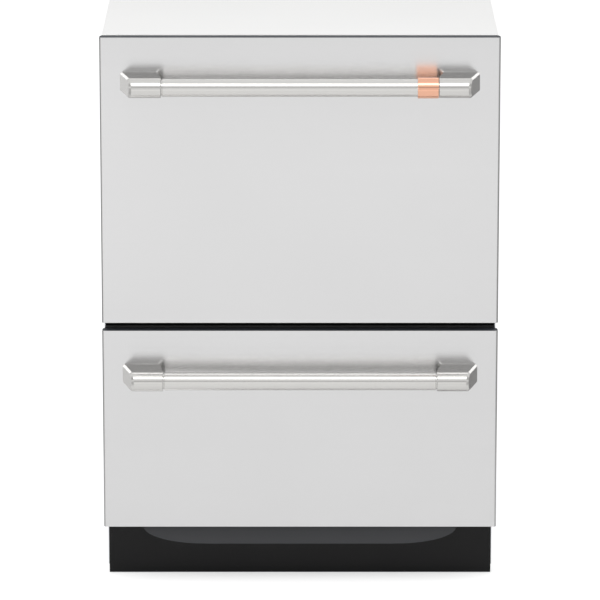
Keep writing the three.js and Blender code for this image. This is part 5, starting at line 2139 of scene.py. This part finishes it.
@dataclass
class Services:
    """The fittings on the base pan: inlet valve, drain, terminal box and control module."""

    z: float = SERVICE_Z
    back: float = span("terminal_box", Axis.Y)[1]
    valve_x: float = middle("inlet_valve", Axis.X)
    drain_x: float = middle("drain_outlet", Axis.X)
    terminal_x: float = middle("terminal_box", Axis.X)

    def valve(self) -> Form:
        """The inlet valve with its solenoid and its bored spigot.

        Returns:
            The valve.
        """
        x, z = self.valve_x, self.z
        form = block(about(x, 23), (self.back - 40, self.back), about(z, 23), 2.0, 3)
        form.carve(rod(9, Axis.Y, (x, self.back - 20, z), 30, 32, 0.0))
        spigot = [(9, -1), (13, -1), (13, 0.8), (12.4, 1.4), (12.4, 1.8), (9, 1.8)]
        form.take(turned(spigot, 40, Axis.Y, (x, self.back, z), ring=True))
        y, top = self.back - 20, z + 23
        coil = [(0, -1), (9, -1), (9, 2), (14, 2), (14, 24), (13, 26), (7, 26), (7, 33), (6, 34), (0, 34)]
        form.take(turned(coil, 32, centre=(x, y, top)))
        form.take(block(about(x, 9), (y - 20, y - 12), (top + 6, top + 20), 1.2))
        for at in (-4.5, 4.5):
            form.take(block((x + at - 0.4, x + at + 0.4), (y - 26, y - 19), (top + 10, top + 16), 0.2))
        for dx in (-18, 18):
            for dz in (-18, 18):
                form.take(screw((x + dx, self.back - 40, z + dz), Axis.Y, -1, 3.0))
        return form

    def drain(self) -> Form:
        """The drain outlet: a bored block with a spigot.

        Returns:
            The drain.
        """
        x, z = self.drain_x, self.z
        form = block(about(x, 17), (self.back - 26, self.back), about(z, 17), 2.0, 3)
        form.carve(rod(7, Axis.Y, (x, self.back - 30, z), 34, 32, 0.0))
        spigot = [(7, -1), (11, -1), (11, 0.8), (10.4, 1.4), (10.4, 1.8), (7, 1.8)]
        form.take(turned(spigot, 40, Axis.Y, (x, self.back, z), ring=True))
        inner = [(7, -24), (11.5, -24), (11.5, -40), (12.6, -41), (12.6, -43), (11, -46), (7, -46)]
        return form.take(turned(inner, 32, Axis.Y, (x, self.back, z), ring=True))

    def terminal(self) -> Form:
        """The mains terminal box, hollow, with a screwed cover.

        Returns:
            The box.
        """
        x, z = self.terminal_x, self.z
        y = (self.back - 32, self.back)
        form = block(about(x, 45), y, about(z, 30), 1.6, 3)
        room = block(about(x, 42), (y[0] + 3, y[1] - 3), about(z, 27))
        form.carve(room, rod(10, Axis.Y, (x, y[1] - 6, z), 10, 32, 0.0))
        form.take(block(about(x, 43), (y[0] - 1.6, y[0] + 0.5), about(z, 28), 0.8))
        for dx in (-38, 38):
            for dz in (-23, 23):
                form.take(screw((x + dx, y[0] - 1.6, z + dz), Axis.Y, -1, 3.0))
        return form

    def control(self) -> Form:
        """The closed control module with its cooling ribs and plugs.

        Returns:
            The module.
        """
        x, y, z = (span("control_module", axis) for axis in Axis)
        form = block(x, y, z, 2.5, 4)
        form.split(Axis.Z, 38.0)
        for x in spread(14, -60, 60):
            form.take(block(about(x, 1.2), (-95, -25), (48, 50.6), 0.4))
        for x in (-52, -20, 12, 44):
            form.take(block(about(x, 11), (y[0] - 5, y[0] + 3), (22, 33), 1.0))
            form.take(block(about(x, 8), (y[0] - 8, y[0]), (24.5, 30.5), 0.6))
        return form

    def build(self) -> None:
        """Places the fittings."""
        place(self.valve(), "inlet_valve_assembly", "cabinet", SERVICE, ["inlet_valve"])
        place(self.drain(), "drain_fitting", "cabinet", BLACK, ["drain_outlet"])
        place(self.terminal(), "mains_box", "cabinet", SERVICE, ["terminal_box"])
        place(self.control(), "control_housing", "cabinet", BLACK, ["control_module"])


# -------- studio


@dataclass
class Studio:
    """The floor, the lamps, the world and the camera."""

    aim: Triple = (0.0, DOOR_FACE * METRES, 0.430)
    distance: float = 7.0
    elevation: float = 14.0
    raise_frame: float = 0.0261
    lens: float = 278.2
    floor_half: float = 30000.0
    floor_drop: float = 0.2
    floor_grey: float = 0.8
    camera_glow: float = 0.55
    # painted shade in reflections: the floor's mirrored glow, weaker near the object, and its darker side
    # sectors
    open_floor: tuple[Pair, Pair] = ((1.6, 0.13), (4.2, 0.37))
    painted_side_shade: tuple[Pair, ...] = ((0.05, 0.4), (0.16, 0.06), (0.64, 0.06), (0.74, 0.5), (0.97, 0.35))
    painted_side_shade_from: Pair = (0.9, 1.4)
    dim_belt: tuple[Pair, ...] = ((0.08, 0), (0.16, 0.45), (0.32, 0.45), (0.42, 0.1), (0.6, 0), (0.8, 0.06))
    soft_loss: float = 0.36
    glow_reach: Pair = (0.972, 0.992)
    floor_glow: tuple[Triple, float] = ((-0.53, -0.848, 0.0), 0.55)
    wall_glows: tuple[tuple[Triple, float], ...] = (
        ((-0.46, -0.877, 0.14), 3.2),
        ((0.456, -0.866, 0.205), 2.8),
    )
    body_aim: Triple = (0, 0, 0.45)
    handle_aim: Triple = (0, -0.3, 0.6)

    def floor(self) -> None:
        """A pale floor, white to the camera unless shadowed, with painted shade in what metal mirrors."""
        wide = about(0, self.floor_half)
        form = sheet(wide, wide, Axis.Z, -self.floor_drop)
        bmesh.ops.scale(form.bm, vec=(METRES,) * 3, verts=form.bm.verts)
        mesh = bpy.data.meshes.new("floor")
        form.bm.to_mesh(mesh)
        form.bm.free()
        ground = bpy.data.objects.new("floor", mesh)
        bpy.context.scene.collection.objects.link(ground)
        material = bpy.data.materials.new("floor")
        material.cycles.emission_sampling = "NONE"
        net = Net(material)
        path = net.add("LightPath")
        spot = net.add("TexCoord").outputs["Object"]
        seen = net.mathed("MULTIPLY", path.outputs["Is Camera Ray"], self.camera_glow)
        from_middle = net.add("VectorMath", {0: spot}, operation="LENGTH").outputs[1]
        # painted contact shade: in reflections the floor glows less near the object
        open_floor = net.fade(from_middle, *self.open_floor, "SMOOTHSTEP")
        way = net.add("VectorMath", {0: spot}, operation="NORMALIZE").outputs[0]
        sideways = net.add("SeparateXYZ", {"Vector": way}).outputs["X"]
        # painted shade: in reflections the floor's colour is darker in sectors towards the sides
        painted_side_shade_amount = net.ramp(net.fade(sideways, (-1.0, 0.0), (1.0, 1.0)), self.painted_side_shade)
        start, end = self.painted_side_shade_from
        away = net.fade(from_middle, (start, 0.0), (end, 1.0))
        glossy = path.outputs["Is Glossy Ray"]
        hidden = net.mathed("MULTIPLY", glossy, net.mathed("MULTIPLY", painted_side_shade_amount, away))
        left = net.mathed("SUBTRACT", 1.0, hidden)
        mirrored = net.mathed("MULTIPLY", glossy, net.mathed("MULTIPLY", open_floor, left))
        mirrored = net.mathed("ADD", mirrored, self.twice(net, path, way, *self.floor_glow))
        both = net.mathed("ADD", seen, mirrored)
        glow = net.add("Emission", {"Color": (1, 1, 1, 1), "Strength": both}).outputs[0]
        grey = net.mathed("MULTIPLY", left, self.floor_grey)
        colour = net.add("CombineColor", {name: grey for name in ("Red", "Green", "Blue")})
        matt = net.add("BsdfDiffuse", {"Color": colour.outputs[0]}).outputs[0]
        net.finish(net.add("AddShader", {0: matt, 1: glow}).outputs[0])
        mesh.materials.append(material)

    def world(self) -> None:
        """Soft light from all round, white behind the object, with a dim belt in what metal mirrors."""
        world = bpy.data.worlds.new("studio")
        world.cycles.sampling_method = "NONE"
        bpy.context.scene.world = world
        net = Net(world)
        path = net.add("LightPath")
        way = net.add("TexCoord").outputs["Generated"]
        height = net.add("SeparateXYZ", {"Vector": way}).outputs["Z"]
        dim = net.ramp(height, self.dim_belt)
        mirrored = net.mathed("MULTIPLY", path.outputs["Is Glossy Ray"], dim)
        soft = net.mathed("MULTIPLY", path.outputs["Is Diffuse Ray"], self.soft_loss)
        strength = net.mathed("SUBTRACT", net.mathed("SUBTRACT", 1.0, mirrored), soft)
        for towards, power in self.wall_glows:
            strength = net.mathed("ADD", strength, self.twice(net, path, way, towards, power))
        net.finish(net.add("Background", {"Color": (1, 1, 1, 1), "Strength": strength}).outputs[0])

    def twice(self, net: Net, path: bpy.types.Node, way: Socket, towards: Triple, strength: float) -> Socket:
        """Light round a direction that metal shows only in its image of other metal, as an edge does.

        Args:
            net: the nodes of the floor or the world.
            path: their Light Path node.
            way: the direction that is shaded.
            towards: the direction that the light is round.
            strength: the light's strength.

        Returns:
            The light there.
        """
        near = net.add("VectorMath", {0: way, 1: towards}, operation="DOT_PRODUCT").outputs["Value"]
        edge, full = self.glow_reach
        patch = net.fade(near, (edge, 0.0), (full, strength))
        again = net.mathed("GREATER_THAN", path.outputs["Glossy Depth"], 1.5)
        return net.mathed("MULTIPLY", patch, again)

    def lamp(self, name: str, at: Triple, towards: Triple, size: Pair, power: float, mirrored: bool) -> Thing:
        """A soft panel lamp that looks at a point, and is or isn't mirrored by metal.

        Args:
            name: its name.
            at: its place.
            towards: the point.
            size: width and height.
            power: watts.
            mirrored: whether metal mirrors it.

        Returns:
            The lamp.
        """
        data = bpy.data.lights.new(name, "AREA")
        data.shape, data.size, data.size_y = "RECTANGLE", *size
        data.energy = power
        lamp = bpy.data.objects.new(name, data)
        lamp.location = at
        lamp.visible_glossy = mirrored
        lamp.rotation_euler = (Vector(towards) - Vector(at)).to_track_quat("-Z", "Y").to_euler()
        bpy.context.scene.collection.objects.link(lamp)
        return lamp

    def spare(self, lamp: Thing, pieces: Iterable[Thing]) -> None:
        """Keeps a lamp's light off some pieces.

        Args:
            lamp: the lamp.
            pieces: the pieces.
        """
        spared = bpy.data.collections.new(f"spared by {lamp.name}")
        lamp.light_linking.receiver_collection = spared
        for piece in pieces:
            spared.objects.link(piece)
        for row in spared.collection_objects:
            row.light_linking.link_state = "EXCLUDE"

    def camera(self) -> None:
        """The camera, above the object's middle and tilted down, as the photograph shows it."""
        data = bpy.data.cameras.new("camera")
        data.lens, data.sensor_width = self.lens, 36.0
        data.clip_end = 200.0
        camera = bpy.data.objects.new("camera", data)
        tilt = math.radians(self.elevation)
        back = Vector((0, -math.cos(tilt), math.sin(tilt)))
        up = Vector((0, math.sin(tilt), math.cos(tilt)))
        camera.location = Vector(self.aim) + up * self.raise_frame + back * self.distance
        camera.rotation_euler = (-back).to_track_quat("-Z", "Y").to_euler()
        bpy.context.scene.collection.objects.link(camera)
        bpy.context.scene.camera = camera

    def build(self, doors: Sequence[Thing]) -> None:
        """Sets up everything around the object; the two glints stay off its doors.

        Args:
            doors: the steel of both doors.
        """
        bpy.context.scene.view_settings.view_transform = "Standard"
        self.camera()
        self.floor()
        self.world()
        body, handles = self.body_aim, self.handle_aim
        self.lamp("key", (-2.6, -3.4, 3.2), body, (2.6, 2.6), 44.0, False)
        self.lamp("fill", (3.0, -3.2, 2.2), body, (2.6, 2.6), 20.0, False)
        self.lamp("strip", (0, -2.1, 3.1), handles, (4.5, 1.2), 30.0, True)
        left = self.lamp("left glint", (-2.3, -4.1, 1.4), handles, (1.2, 1.5), 15.0, True)
        right = self.lamp("right glint", (2.3, -4.1, 1.7), handles, (0.7, 1.0), 8.0, True)
        self.spare(left, doors)
        self.spare(right, doors)


def main() -> None:
    """Builds the studio and every sub-assembly."""
    logging.basicConfig(level=logging.INFO, format="%(name)s: %(message)s")
    doors = []
    for level in (UPPER, LOWER):
        doors.append(Door(level).build())
        Handle(level).build()
        Tub(level).build()
        Washer(level).build()
        Rack(level).build()
        Lid(level).build()
        Slides(level).build()
    Cabinet().build()
    Services().build()
    Studio().build(doors)


if __name__ == "__main__":
    main()
